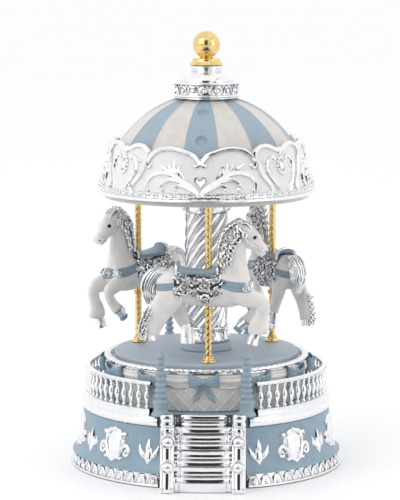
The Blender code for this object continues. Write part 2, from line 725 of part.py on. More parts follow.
def valance_top(degrees):
    """The height of the valance's lobed top edge: pairs of wide lobes with narrow shields between them."""
    from_front = abs((degrees - PATTERN_TURN + 90 + 45) % 90 - 45)
    if from_front < 33:
        return 139.0 + 4.0 * math.sin(math.pi * from_front / 33) ** 0.8
    return 139.8 + (VALANCE_TOP_Z - 139.8) * math.sin(math.pi * (from_front - 33) / 24) ** 0.8


def valance_r(z):
    """The valance's outer face leans in towards the top, a little hollow."""
    share = (z - VALANCE_Z) / (VALANCE_TOP_Z - VALANCE_Z)
    return VALANCE_R + (VALANCE_TOP_R - VALANCE_R) * share - 0.5 * math.sin(math.pi * share)


def canopy_valance():
    steps = 48
    rings = []
    for i in range(steps):
        degrees = 360 * i / steps
        top = valance_top(degrees)
        section = []
        for share in (0, 0.45, 1):
            z = VALANCE_Z + (top - VALANCE_Z) * share
            section.append((valance_r(z), z))
        inner = [(max(r - VALANCE_WALL, inside_r(z)), z) for r, z in reversed(section)]
        rings.append([polar(r, degrees, z) for r, z in section + inner])
    piece("canopy_valance", skin(rings, along=True), CREAM)


def inside_r(z):
    """The dome's outside at a height, with a gap."""
    return math.sqrt(max(DOME_R**2 - (z - DOME_CENTRE_Z) ** 2, 0)) + GAP


def canopy_cap():
    under = dome_z(DOME_HOLE_R, DOME_R) + GAP
    edge = dome_z(14.1, DOME_R) + GAP
    profile = [(BORE_R, under), (DOME_HOLE_R, under), (14.1, edge), (CAP_R, edge + 1.4)]
    profile += [(CAP_R, 168.0), (11.8, 168.1), (10.2, 170.6), (6.7, 172.8)]
    profile += [(7.6, CAP_TOP_Z), (BORE_R, CAP_TOP_Z)]
    piece("canopy_cap", turned(profile, 24), SILVER)


def finial():
    profile = [(BORE_R, FINIAL_Z), (7.1, FINIAL_Z), (5.9, 178.0), (2.7, 178.3)]
    start = math.asin((178.6 - FINIAL_BALL_Z) / FINIAL_BALL_R)
    steps = 6
    for i in range(steps):
        angle = start + (math.pi / 2 - start) * i / steps
        profile.append((FINIAL_BALL_R * math.cos(angle), FINIAL_BALL_Z + FINIAL_BALL_R * math.sin(angle)))
    profile.append((0, FINIAL_BALL_Z + FINIAL_BALL_R))
    profile.insert(0, (0, FINIAL_BALL_Z + GAP))
    profile.insert(1, (BORE_R, FINIAL_BALL_Z + GAP))
    piece("finial", turned(profile, 16), GOLD)


# ---- Horses ----


def limb(points, sides=5):
    """A closed tube through (x, y, z, half depth, half width) points, in the horse's own frame."""
    rings = []
    for i, (x, y, z, depth, width) in enumerate(points):
        before, after = points[max(i - 1, 0)], points[min(i + 1, len(points) - 1)]
        way = Vector([b - a for a, b in zip(before[:3], after[:3])]).normalized()
        across = Vector((0, 1, 0))
        across = (across - way * across.dot(way)).normalized()
        up = way.cross(across)
        ring = []
        for k in range(sides):
            angle = math.tau * k / sides
            ring.append(Vector((x, y, z)) + up * depth * math.cos(angle) + across * width * math.sin(angle))
        rings.append(ring)
    return skin(rings)


# Each list runs along one part of the horse, with the pole at x = 0 and the horse facing +x.
BARREL = [(-20.6, 0, 84.5, 2.6, 2.4), (-18.6, 0, 84.6, 5.6, 4.9), (-13, 0, 84.2, 7.2, 6.0)]
BARREL += [(-4, 0, 82.6, 7.4, 6.0), (5, 0, 82.4, 7.7, 5.9), (12, 0, 83.4, 7.8, 5.6)]
BARREL += [(17.0, 0, 84.4, 5.0, 4.2), (19.0, 0, 84.6, 2.2, 2.0)]
NECK = [(9.5, 0, 84.0, 7.0, 4.4), (11.8, 0, 91.0, 6.3, 3.9), (13.6, 0, 98.0, 5.2, 3.4)]
NECK += [(14.6, 0, 104.0, 4.2, 3.0), (15.2, 0, 108.4, 2.2, 2.0)]
HEAD = [(12.6, 0, 107.2, 2.4, 2.2), (15.4, 0, 106.2, 3.5, 2.9), (19.4, 0, 102.9, 3.2, 2.6)]
HEAD += [(22.6, 0, 99.6, 2.3, 2.0), (25.0, 0, 97.4, 2.0, 1.9), (25.9, 0, 96.6, 1.1, 1.1)]
MANE = [(13.0, 0, 110.6, 1.6, 2.4), (11.0, 0, 107.0, 3.2, 3.6), (9.0, 0, 101.0, 3.0, 3.8)]
MANE += [(7.0, 0, 95.0, 2.8, 3.8), (5.2, 0, 89.4, 2.2, 3.0)]
FORE_NEAR = [(11.5, -3.2, 82.0, 4.2, 2.6), (17.4, -4.0, 78.6, 3.0, 2.1), (23.4, -4.2, 77.2, 1.9, 1.7)]
FORE_NEAR += [(23.6, -4.2, 74.4, 1.5, 1.4), (21.2, -4.2, 67.8, 1.1, 1.1), (20.4, -4.2, 64.6, 1.9, 1.7)]
FORE_NEAR += [(19.2, -4.2, 61.4, 2.1, 2.0), (18.6, -4.2, 60.2, 2.0, 1.9)]
FORE_FAR = [(10.0, 3.2, 81.0, 4.0, 2.6), (15.6, 4.0, 75.4, 2.6, 2.0), (19.4, 4.2, 72.0, 1.7, 1.6)]
FORE_FAR += [(17.6, 4.2, 67.4, 1.2, 1.2), (15.8, 4.2, 64.6, 1.9, 1.7), (14.6, 4.2, 61.8, 2.1, 2.0)]
HIND_NEAR = [(-14.0, -3.4, 84.0, 5.6, 2.8), (-16.6, -4.2, 77.0, 4.2, 2.6), (-22.8, -4.2, 72.6, 1.9, 1.7)]
HIND_NEAR += [(-24.2, -4.2, 70.0, 1.5, 1.4), (-23.0, -4.2, 65.4, 1.9, 1.7), (-24.6, -4.2, 60.0, 2.1, 2.0)]
HIND_FAR = [(-12.0, 3.4, 83.0, 5.6, 2.8), (-12.4, 4.2, 76.0, 3.8, 2.5), (-15.4, 4.2, 69.6, 1.8, 1.6)]
HIND_FAR += [(-12.6, 4.2, 64.2, 1.2, 1.2), (-10.0, 4.2, 60.8, 1.9, 1.8), (-7.6, 4.2, 57.0, 2.2, 2.1)]
TAIL = [(-18.6, 0, 88.4, 2.0, 2.0), (-22.0, 0, 90.6, 2.4, 2.4), (-26.0, 0, 88.8, 3.0, 3.0)]
TAIL += [(-28.2, 0, 83.6, 3.2, 3.2), (-28.6, 0, 78.4, 2.4, 2.6), (-27.6, 0, 74.8, 1.4, 1.6)]
SADDLE = [(-12.6, 0, 92.6, 1.8, 3.6), (-9.0, 0, 90.2, 2.2, 5.2), (-3.0, 0, 89.4, 2.2, 5.6)]
SADDLE += [(2.0, 0, 90.4, 2.2, 5.0), (4.4, 0, 92.2, 1.6, 3.2)]
HORSE_LIMBS = (NECK, HEAD, MANE, FORE_NEAR, FORE_FAR, HIND_NEAR, HIND_FAR, TAIL, SADDLE)


def horse(name, station):
    """One cast horse, with its saddle, mane and tail, bored through for its pole."""
    body = piece(f"horse_{name}", limb(BARREL, 7), CREAM)
    limbs = [piece("limb", limb(points), CREAM) for points in HORSE_LIMBS]
    combine(body, limbs, "UNION")
    bore = piece("bore", rod_z(POLE_BORE_R, COLLAR_Z, 100, 12), CREAM)
    combine(body, [bore], "DIFFERENCE")
    place = Matrix.Rotation(math.radians(station), 4, "Z") @ Matrix.Translation((POLE_CIRCLE_R * MM, 0, 0))
    facing = Matrix.Rotation(math.radians(90 + HORSE_YAW[name]), 4, "Z")
    body.data.transform(place @ facing)
    body.data.materials.clear()
    body.data.materials.append(finish_of(f"horse_{name}", CREAM))


def pole_parts(name, station):
    x, y, _ = polar(POLE_CIRCLE_R, station, 0)
    low = PLATFORM_TOP_Z + GAP
    piece(f"pole_{name}", rod_z(POLE_R, low, CEILING_Z - GAP, 8, (x, y)), GOLD)
    flange = [(POLE_BORE_R, low), (FLANGE_R, low), (FLANGE_R, low + 0.8)]
    flange += [(2.3, low + 2.2), (POLE_BORE_R, low + 2.4)]
    piece(f"pole_flange_{name}", turned(flange, 12, (x, y)), GOLD)
    collar = ring_profile(POLE_BORE_R, COLLAR_R, COLLAR_Z, COLLAR_Z + 1.7)
    piece(f"pole_collar_{name}", turned(collar, 12, (x, y)), GOLD)


def main():
    clear_scene()
    base_shell()
    foot_rings()
    balustrades()
    bollards()
    stairs("stairs_front", 0)
    stairs("stairs_rear", 180)
    lattice_drum()
    drum_rim()
    swag_band()
    bottom_cover()
    cover_screws()
    bedplate()
    spring_barrel()
    mainspring()
    comb()
    bearings()
    music_cylinder()
    governor_wheel()
    governor_fly()
    winding_key()
    great_wheel()
    shafts()
    platform()
    column_parts()
    canopy_ceiling()
    canopy_dome()
    canopy_valance()
    canopy_cap()
    finial()
    for i, name in enumerate(HORSES):
        station = -90 + HORSE_TURN + 120 * i
        horse(name, station)
        pole_parts(name, station)


main()
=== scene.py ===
"""Looks of the carousel music box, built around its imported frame.

Sizes inside the script are in millimetres and become metres when a shape is made into an object. Angles called
phi are in degrees round the axis, 0 at the front (-Y) and growing towards +X.
"""

import math

import bmesh
import bpy
import numpy as np
from mathutils import Matrix, Vector
from mathutils.bvhtree import BVHTree


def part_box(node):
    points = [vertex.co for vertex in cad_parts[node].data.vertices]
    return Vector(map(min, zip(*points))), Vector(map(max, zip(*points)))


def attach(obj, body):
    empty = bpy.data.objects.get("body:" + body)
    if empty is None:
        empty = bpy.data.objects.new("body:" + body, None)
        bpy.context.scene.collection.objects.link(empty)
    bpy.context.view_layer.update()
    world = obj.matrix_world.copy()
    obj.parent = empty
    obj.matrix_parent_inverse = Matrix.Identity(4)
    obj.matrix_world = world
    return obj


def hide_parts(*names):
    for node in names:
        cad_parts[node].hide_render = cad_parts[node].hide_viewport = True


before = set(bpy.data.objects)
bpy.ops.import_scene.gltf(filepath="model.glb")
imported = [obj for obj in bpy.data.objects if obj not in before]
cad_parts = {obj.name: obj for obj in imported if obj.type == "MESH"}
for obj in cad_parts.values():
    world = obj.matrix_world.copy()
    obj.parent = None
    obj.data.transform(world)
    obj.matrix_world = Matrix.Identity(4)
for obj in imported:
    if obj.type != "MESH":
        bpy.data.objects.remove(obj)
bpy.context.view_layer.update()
MM = 0.001

# ---- Sizes read from the frame, in millimetres ----


def low(node, axis=2):
    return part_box(node)[0][axis] / MM


def high(node, axis=2):
    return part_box(node)[1][axis] / MM


def reach(node):
    """A round node's outer radius."""
    return (high(node, 0) - low(node, 0)) / 2


FOOT_R = high("foot_ring_right", 0)
FOOT_TOP = high("foot_ring_right")
DECK = high("base_shell")
SILL = low("lattice_drum")
RAIL_TOP = high("balustrade_right")
DRUM_TOP = high("lattice_drum")
RIM_TOP = high("drum_rim")
RIM_R = reach("drum_rim")
PLATFORM_R = reach("turntable_platform")
PLATFORM_TOP = high("turntable_platform")
COLUMN_LOW, COLUMN_HIGH = low("column"), high("column")
COLUMN_R = reach("column")
CEILING_Z = low("canopy_ceiling")
DOME_R = reach("canopy_dome")
DOME_CENTRE = high("canopy_ceiling") - 2.7
VALANCE_LOW, VALANCE_HIGH = low("canopy_valance"), high("canopy_valance")
VALANCE_R = reach("canopy_valance")
CAP_TOP = high("canopy_cap")
CAP_R = reach("canopy_cap")
FINIAL_LOW, FINIAL_HIGH = low("finial"), high("finial")
POLE_X = (low("pole_front", 0) + high("pole_front", 0)) / 2
POLE_Y = (low("pole_front", 1) + high("pole_front", 1)) / 2
POLE_CIRCLE_R = math.hypot(POLE_X, POLE_Y)
POLE_PHI = math.degrees(math.atan2(POLE_X, -POLE_Y))
PATTERN_PHI = -2.0
STAIR_FRONT = -low("stairs_front", 1)

# ---- Points, curves and shapes ----


def at(phi, radius, z):
    angle = math.radians(phi - 90)
    return np.array((radius * math.cos(angle), radius * math.sin(angle), z))


def smooth(points, per_span=6, closed=False):
    """A Catmull-Rom curve through the points, as an array."""
    points = np.array(points, float)
    count = len(points)
    spans = count if closed else count - 1
    out = []
    for i in range(spans):
        if closed:
            a, b, c, d = (points[(i + k) % count] for k in (-1, 0, 1, 2))
        else:
            b, c = points[i], points[i + 1]
            a = points[i - 1] if i > 0 else 2 * b - c
            d = points[i + 2] if i + 2 < count else 2 * c - b
        for k in range(per_span):
            t = k / per_span
            out.append(0.5 * (2 * b + (c - a) * t + (2 * a - 5 * b + 4 * c - d) * t**2
                              + (3 * b - a - 3 * c + d) * t**3))
    if not closed:
        out.append(points[-1])
    return np.array(out)


def unit(vector):
    return vector / max(np.linalg.norm(vector), 1e-9)


class Shape:
    """A mesh being gathered from grids, tubes, balls and turned profiles, in millimetres."""

    def __init__(self):
        self.points = []
        self.faces = []
        self.slots = []
        self.count = 0

    def add(self, points, faces, slot=0):
        points = np.asarray(points, float).reshape(-1, 3)
        self.faces.extend(tuple(self.count + i for i in face) for face in faces)
        self.slots.extend([slot] * len(faces))
        self.points.append(points)
        self.count += len(points)

    def grid(self, rings, around=True, along=False, caps=False, slot=0):
        rings = np.asarray(rings, float)
        n, m = rings.shape[:2]
        faces = []
        for i in range(n if along else n - 1):
            a, b = i * m, ((i + 1) % n) * m
            for j in range(m if around else m - 1):
                k = (j + 1) % m
                faces.append((a + j, a + k, b + k, b + j))
        if caps:
            faces.append(tuple(range(m))[::-1])
            faces.append(tuple((n - 1) * m + j for j in range(m)))
        self.add(rings, faces, slot)

    def turn(self, profile, sides=128, centre=(0, 0), start=0, end=360, slot=0):
        """Turns (radius, z) points about a vertical axis, all the way or between two values of phi."""
        whole = end - start >= 360
        steps = sides if whole else sides + 1
        rings = []
        for i in range(steps):
            phi = start + (end - start) * i / sides
            rings.append([at(phi, r, z) + (centre[0], centre[1], 0) for r, z in profile])
        self.grid(rings, around=False, along=whole, slot=slot)

    def tube(self, points, radii, sides=8, closed=False, normals=None, rise=1.0, slot=0):
        """Sweeps a round or flattened section along points; normals say which way its height points."""
        points = np.asarray(points, float)
        count = len(points)
        radii = np.broadcast_to(np.asarray(radii, float), (count,))
        if closed:
            tangents = np.roll(points, -1, 0) - np.roll(points, 1, 0)
        else:
            tangents = np.gradient(points, axis=0)
        rings = []
        normal = None
        angles = np.arange(sides) * math.tau / sides
        for i in range(count):
            way = unit(tangents[i])
            if normals is not None:
                normal = np.asarray(normals[i], float)
            elif normal is None:
                normal = np.array((0.0, 0.0, 1.0)) if abs(way[2]) < 0.9 else np.array((1.0, 0.0, 0.0))
            normal = unit(normal - way * normal.dot(way))
            across = np.cross(way, normal)
            ring = points[i] + radii[i] * (np.outer(np.cos(angles), across)
                                           + rise * np.outer(np.sin(angles), normal))
            rings.append(ring)
        self.grid(rings, along=closed, caps=not closed, slot=slot)

    def ball(self, centre, radius, squash=1.0, normal=(0, 0, 1), sides=12, slot=0):
        """A ball, flattened along its normal by squash."""
        normal = unit(np.asarray(normal, float))
        side = unit(np.cross(normal, (0.3, 0.5, 0.8)))
        other = np.cross(normal, side)
        rows = max(sides // 2, 4)
        rings = []
        for i in range(rows + 1):
            lift, out = -math.cos(math.pi * i / rows), max(math.sin(math.pi * i / rows), 0.02)
            ring = []
            for k in range(sides):
                angle = math.tau * k / sides
                flat = side * math.cos(angle) + other * math.sin(angle)
                ring.append(np.asarray(centre) + radius * (flat * out + normal * lift * squash))
            rings.append(ring)
        self.grid(rings, caps=True, slot=slot)

    def merge(self, other, matrix=None):
        """Adds a copy of another shape, moved by a 4 by 4 matrix in millimetres."""
        points = np.concatenate(other.points)
        if matrix is not None:
            m = np.array(matrix)
            points = points @ m[:3, :3].T + m[:3, 3]
            if np.linalg.det(m[:3, :3]) < 0:
                start = self.count
                self.faces.extend(tuple(start + i for i in reversed(face)) for face in other.faces)
                self.slots.extend(other.slots)
                self.points.append(points)
                self.count += len(points)
                return
        start = self.count
        self.faces.extend(tuple(start + i for i in face) for face in other.faces)
        self.slots.extend(other.slots)
        self.points.append(points)
        self.count += len(points)

    def make(self, name, materials, body, replaces=(), slot=None, crease=40):
        """Turns the shape into an object that rides on a body of the frame."""
        mesh = bpy.data.meshes.new(name)
        mesh.from_pydata((np.concatenate(self.points) * MM).tolist(), [], self.faces)
        tidy = bmesh.new()
        tidy.from_mesh(mesh)
        bmesh.ops.remove_doubles(tidy, verts=tidy.verts, dist=1e-6)
        bmesh.ops.recalc_face_normals(tidy, faces=tidy.faces)
        tidy.to_mesh(mesh)
        tidy.free()
        for material in materials if isinstance(materials, (list, tuple)) else [materials]:
            mesh.materials.append(material)
        if len(mesh.polygons) == len(self.slots):
            mesh.polygons.foreach_set("material_index", self.slots)
        mesh.shade_smooth()
        mesh.set_sharp_from_angle(angle=math.radians(crease))
        thing = bpy.data.objects.new(name, mesh)
        bpy.context.collection.objects.link(thing)
        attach(thing, body)
        if replaces:
            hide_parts(*replaces)
        return thing


def turned_about(phi, mirror=False):
    """A matrix that turns a shape made at the front round to phi, and mirrors it first if asked."""
    turn = Matrix.Rotation(math.radians(phi), 4, "Z")
    return turn @ Matrix.Scale(-1, 4, (1, 0, 0)) if mirror else turn


def on_surface(radius_at, phi, z, lift=0.0):
    """A point on a turned surface, raised by lift, and the surface's outward normal there."""
    slope = (radius_at(z + 0.05) - radius_at(z - 0.05)) / 0.1
    outward = at(phi, 1.0, 0.0)
    normal = unit(outward - np.array((0, 0, slope)))
    return at(phi, radius_at(z), z) + normal * lift, normal


def relief(shape, radius_at, path, rise=0.9, per_span=6, sides=8, lift=0.0):
    """Sweeps raised work along a path of (phi, z, half width) on a turned surface."""
    samples = smooth(path, per_span)
    pairs = [on_surface(radius_at, phi, z, lift) for phi, z, _ in samples]
    shape.tube([p for p, _ in pairs], samples[:, 2], sides, normals=[n for _, n in pairs], rise=rise)


def relief_ball(shape, radius_at, phi, z, radius, squash=0.8, lift=0.0):
    point, normal = on_surface(radius_at, phi, z, lift)
    shape.ball(point, radius, squash, normal)


# ---- Materials ----


class Finish:
    """A material with its nodes at hand. Texture scales are per metre."""

    def __init__(self, name, colour, roughness, metallic=0.0):
        self.material = bpy.data.materials.new(name)
        self.material.use_nodes = True
        self.nodes = self.material.node_tree.nodes
        self.links = self.material.node_tree.links
        self.shader = self.nodes["Principled BSDF"]
        self.colour = colour
        self.shader.inputs["Metallic"].default_value = metallic
        self.shader.inputs["Roughness"].default_value = roughness
        self.shader.inputs["Base Color"].default_value = (*colour, 1)
        self.place = self.nodes.new("ShaderNodeTexCoord").outputs["Object"]
        self.last_bump = None

    def noise(self, scale, detail=3.0, kind="ShaderNodeTexNoise"):
        node = self.nodes.new(kind)
        node.inputs["Scale"].default_value = scale
        if "Detail" in node.inputs:
            node.inputs["Detail"].default_value = detail
        self.links.new(self.place, node.inputs["Vector"])
        return node.outputs["Fac"] if "Fac" in node.outputs else node.outputs["Distance"]

    def ramp(self, source, start, end, low_value, high_value):
        node = self.nodes.new("ShaderNodeMapRange")
        for name, value in (("From Min", start), ("From Max", end), ("To Min", low_value), ("To Max", high_value)):
            node.inputs[name].default_value = value
        self.links.new(source, node.inputs["Value"])
        return node.outputs["Result"]

    def mottle(self, scale, amount, tint=(1.0, 1.0, 1.0)):
        """Varies the colour gently between a darker and a lighter cast."""
        mix = self.nodes.new("ShaderNodeMix")
        mix.data_type = "RGBA"
        dark = [c * (1 - amount) * t for c, t in zip(self.colour, tint)]
        light = [min(c * (1 + amount), 1) for c in self.colour]
        mix.inputs["A"].default_value = (*dark, 1)
        mix.inputs["B"].default_value = (*light, 1)
        self.links.new(self.ramp(self.noise(scale), 0.3, 0.7, 0, 1), mix.inputs["Factor"])
        self.links.new(mix.outputs["Result"], self.shader.inputs["Base Color"])
        return self

    def scuff(self, scale, low_value, high_value):
        """Varies the roughness between two values."""
        self.links.new(self.ramp(self.noise(scale, 5), 0.35, 0.65, low_value, high_value), self.shader.inputs["Roughness"])
        return self

    def bump(self, scale, distance, strength=1.0, detail=3.0, kind="ShaderNodeTexNoise"):
        node = self.nodes.new("ShaderNodeBump")
        node.inputs["Strength"].default_value = strength
        node.inputs["Distance"].default_value = distance * MM
        self.links.new(self.noise(scale, detail, kind), node.inputs["Height"])
        if self.last_bump:
            self.links.new(self.last_bump, node.inputs["Normal"])
        self.last_bump = node.outputs["Normal"]
        self.links.new(self.last_bump, self.shader.inputs["Normal"])
        return self

    def paint_hollow_shade(self, depth, left):
        """Paints shade into hollows narrower than about twice the depth: ambient occlusion darkens the base colour
        there.
        """
        hollow = self.nodes.new("ShaderNodeAmbientOcclusion")
        hollow.samples = 6
        hollow.inputs["Distance"].default_value = depth * MM
        mix = self.nodes.new("ShaderNodeMix")
        mix.data_type = "RGBA"
        mix.blend_type = "MULTIPLY"
        mix.inputs["Factor"].default_value = 1.0
        self.links.new(self.shader.inputs["Base Color"].links[0].from_socket, mix.inputs["A"])
        self.links.new(self.ramp(hollow.outputs["AO"], 0.3, 0.95, left, 1.0), mix.inputs["B"])
        self.links.new(mix.outputs["Result"], self.shader.inputs["Base Color"])
        return self

    def coat(self, weight, roughness):
        self.shader.inputs["Coat Weight"].default_value = weight
        self.shader.inputs["Coat Roughness"].default_value = roughness
        return self


def finishes():
    paint_blue = Finish("paint_blue", (0.265, 0.366, 0.445), 0.42).mottle(260, 0.07).scuff(900, 0.36, 0.5)
    paint_blue.bump(1500, 0.05).bump(240, 0.12)
    canopy_blue = Finish("canopy_blue", (0.31, 0.40, 0.468), 0.4).mottle(220, 0.05).scuff(700, 0.34, 0.46)
    canopy_blue.bump(1600, 0.04)
    cream = Finish("pearl_cream", (0.64, 0.62, 0.595), 0.36).mottle(200, 0.05, (1.0, 0.985, 0.96))
    cream.scuff(800, 0.3, 0.44).bump(1400, 0.04).coat(0.25, 0.2)
    drum = Finish("drum_cream", (0.86, 0.835, 0.80), 0.42).mottle(240, 0.06, (1.0, 0.985, 0.96))
    drum.scuff(800, 0.36, 0.5).bump(1300, 0.06)
    pearl = Finish("pearl_grey", (0.84, 0.825, 0.815), 0.38).mottle(180, 0.05).scuff(900, 0.32, 0.46)
    pearl.bump(1500, 0.05).coat(0.2, 0.25)
    platform = Finish("platform_blue", (0.40, 0.47, 0.545), 0.5).mottle(150, 0.05).scuff(600, 0.44, 0.58)
    platform.bump(1800, 0.04)
    silver = Finish("silver_plate", (0.87, 0.875, 0.885), 0.13, 1.0).mottle(500, 0.035).scuff(900, 0.09, 0.2)
    # silver_plate and silver_carved get painted shade: ambient occlusion darkens the colour in their hollows.
    silver.bump(900, 0.035).bump(160, 0.10).paint_hollow_shade(0.8, 0.68)
    carved = Finish("silver_carved", (0.90, 0.905, 0.92), 0.12, 1.0).mottle(1400, 0.08).scuff(1200, 0.08, 0.18)
    carved.bump(900, 0.05).paint_hollow_shade(1.0, 0.4)
    chrome = Finish("stair_chrome", (0.88, 0.885, 0.895), 0.05, 1.0).mottle(300, 0.02).scuff(700, 0.035, 0.09)
    chrome.bump(120, 0.10)
    gold = Finish("gold_plate", (0.82, 0.62, 0.29), 0.16, 1.0).mottle(420, 0.08, (1.0, 0.94, 0.8))
    gold.scuff(900, 0.12, 0.24).bump(1100, 0.03)
    steel = Finish("movement_steel", (0.52, 0.53, 0.54), 0.34, 1.0).mottle(600, 0.08).scuff(1200, 0.26, 0.44)
    steel.bump(1500, 0.03)
    brass = Finish("movement_brass", (0.68, 0.50, 0.24), 0.3, 1.0).mottle(500, 0.1).scuff(1200, 0.22, 0.4)
    brass.bump(1500, 0.03)
    black = Finish("cover_plastic", (0.03, 0.03, 0.034), 0.5).mottle(400, 0.2).scuff(900, 0.42, 0.6)
    black.bump(2600, 0.06)
    eye = Finish("eye_black", (0.012, 0.011, 0.012), 0.12).mottle(900, 0.2).scuff(1500, 0.08, 0.16)
    horse_grey = Finish("horse_pearl", (0.82, 0.81, 0.79), 0.34).mottle(230, 0.055, (1.0, 0.985, 0.97))
    horse_grey.scuff(900, 0.28, 0.42).bump(1300, 0.05).coat(0.25, 0.2)
    named = dict(blue=paint_blue, canopy=canopy_blue, cream=cream, drum=drum, pearl=pearl, platform=platform,
                 silver=silver, carved=carved, chrome=chrome, gold=gold, steel=steel, brass=brass, black=black,
                 eye=eye, horse=horse_grey)
    return {name: finish.material for name, finish in named.items()}


PAINT = finishes()

# ---- Camera, light and floor ----


def camera():
    """A long lens a metre away and a little above, turned slightly to the object's right."""
    distance, height, down, round_by, aside = 1063.3, 242.2, 7.952, 1.3, 0.15
    eye = at(round_by, distance, height)
    data = bpy.data.cameras.new("camera")
    data.sensor_fit = "VERTICAL"
    data.sensor_height = 24.0
    data.lens = 116.9
    data.clip_start = 0.05
    thing = bpy.data.objects.new("camera", data)
    thing.location = Vector(eye) * MM
    thing.rotation_euler = (math.radians(90 - down), 0, math.radians(round_by + aside))
    bpy.context.collection.objects.link(thing)
    bpy.context.scene.camera = thing


def soft_light(name, place, target, size, power):
    data = bpy.data.lights.new(name, "AREA")
    data.shape = "RECTANGLE"
    data.size, data.size_y = size
    data.energy = power
    thing = bpy.data.objects.new(name, data)
    thing.location = place
    thing.rotation_euler = (Vector(target) - Vector(place)).to_track_quat("-Z", "Y").to_euler()
    bpy.context.collection.objects.link(thing)


def studio():
    """A white tent with the dark gap in front that the lens looks through, and a dark mat on the floor before the object."""
    scene = bpy.context.scene
    scene.view_settings.view_transform = "Standard"
    world = bpy.data.worlds.new("tent")
    scene.world = world
    world.use_nodes = True
    nodes, links = world.node_tree.nodes, world.node_tree.links
    direction = nodes.new("ShaderNodeTexCoord").outputs["Generated"]
    split = nodes.new("ShaderNodeSeparateXYZ")
    links.new(direction, split.inputs[0])

    def step(source, start, end, first, last):
        node = nodes.new("ShaderNodeMapRange")
        node.interpolation_type = "SMOOTHSTEP"
        for name, value in (("From Min", start), ("From Max", end), ("To Min", first), ("To Max", last)):
            node.inputs[name].default_value = value
        links.new(source, node.inputs["Value"])
        return node.outputs["Result"]

    def combine(operation, a, b):
        node = nodes.new("ShaderNodeMath")
        node.operation = operation
        for socket, value in zip(node.inputs, (a, b)):
            if isinstance(value, (int, float)):
                socket.default_value = value
            else:
                links.new(value, socket)
        return node.outputs[0]

    across = combine("ABSOLUTE", split.outputs["X"], 0)
    gap = combine("MULTIPLY", step(across, 0.2, 0.3, 1, 0), step(split.outputs["Y"], -0.5, -0.3, 1, 0))
    gap = combine("MULTIPLY", gap, step(combine("ABSOLUTE", combine("SUBTRACT", split.outputs["Z"], 0.2), 0),
                                        0.42, 0.5, 1, 0))
    side_folds = combine("MULTIPLY", step(across, 0.5, 0.56, 0, 1), step(across, 0.66, 0.72, 1, 0))
    front_half = step(split.outputs["Y"], -0.6, 0.1, 1, 0)
    shade = combine("SUBTRACT", 1.0, combine("MULTIPLY", gap, 0.965))
    shade = combine("SUBTRACT", shade, combine("MULTIPLY", combine("MULTIPLY", side_folds, front_half), 0.8))
    background = nodes["Background"]
    tone = nodes.new("ShaderNodeCombineColor")
    for name, factor in (("Red", 1.0), ("Green", 1.0), ("Blue", 1.015)):
        links.new(combine("MULTIPLY", shade, factor), tone.inputs[name])
    links.new(tone.outputs[0], background.inputs["Color"])
    background.inputs["Strength"].default_value = 1.07
    soft_light("key_left", (-0.75, -0.65, 0.75), (0, 0, 0.1), (0.7, 0.9), 3.3)
    soft_light("fill_right", (0.85, -0.55, 0.55), (0, 0, 0.1), (0.6, 0.9), 1.3)
    floor_finish = Finish("floor", (0.985, 0.985, 0.988), 0.6).mottle(3, 0.004)
    floor_split = floor_finish.nodes.new("ShaderNodeSeparateXYZ")
    floor_finish.links.new(floor_finish.place, floor_split.inputs[0])
    edges = [floor_finish.ramp(floor_split.outputs["Y"], -0.14, -0.1, 0.03, 1.0)]
    edges.append(floor_finish.ramp(floor_split.outputs["Y"], -0.6, -0.5, 1.0, 0.03))
    for sign in (-1, 1):
        edges.append(floor_finish.ramp(floor_split.outputs["X"], sign * 0.11, sign * 0.17, 0.03, 1.0))
    edge = edges[0]
    for other in edges[1:]:
        lighter = floor_finish.nodes.new("ShaderNodeMath")
        lighter.operation = "MAXIMUM"
        floor_finish.links.new(edge, lighter.inputs[0])
        floor_finish.links.new(other, lighter.inputs[1])
        edge = lighter.outputs[0]
    mix = floor_finish.nodes.new("ShaderNodeMix")
    mix.data_type = "RGBA"
    mix.blend_type = "MULTIPLY"
    mix.inputs["Factor"].default_value = 1.0
    floor_finish.links.new(floor_finish.shader.inputs["Base Color"].links[0].from_socket, mix.inputs["A"])
    floor_finish.links.new(edge, mix.inputs["B"])
    floor_finish.links.new(mix.outputs["Result"], floor_finish.shader.inputs["Base Color"])
    mesh = bpy.data.meshes.new("floor")
    half = 14.0
    mesh.from_pydata([(-half, -half, 0), (half, -half, 0), (half, half, 0), (-half, half, 0)], [], [(0, 1, 2, 3)])
    mesh.materials.append(floor_finish.material)
    floor = bpy.data.objects.new("floor", mesh)
    floor.location.z = -0.0003
    bpy.context.collection.objects.link(floor)


camera()
studio()

# ---- Base ----

STEP_Z = low("balustrade_right") - 0.3
BASE_PROFILE = smooth([(59.3, FOOT_TOP + 0.2), (58.0, 6.6), (56.7, 8.8), (55.7, 12.0), (54.9, 16.5), (54.3, STEP_Z + 0.1)], 5)
STAIR_HALF, WING_HALF = 12.3, high("stairs_front", 0)
SIDES = ((0, "right"), (180, "left"))


def base_r(z):
    return float(np.interp(z, BASE_PROFILE[:, 1], BASE_PROFILE[:, 0]))


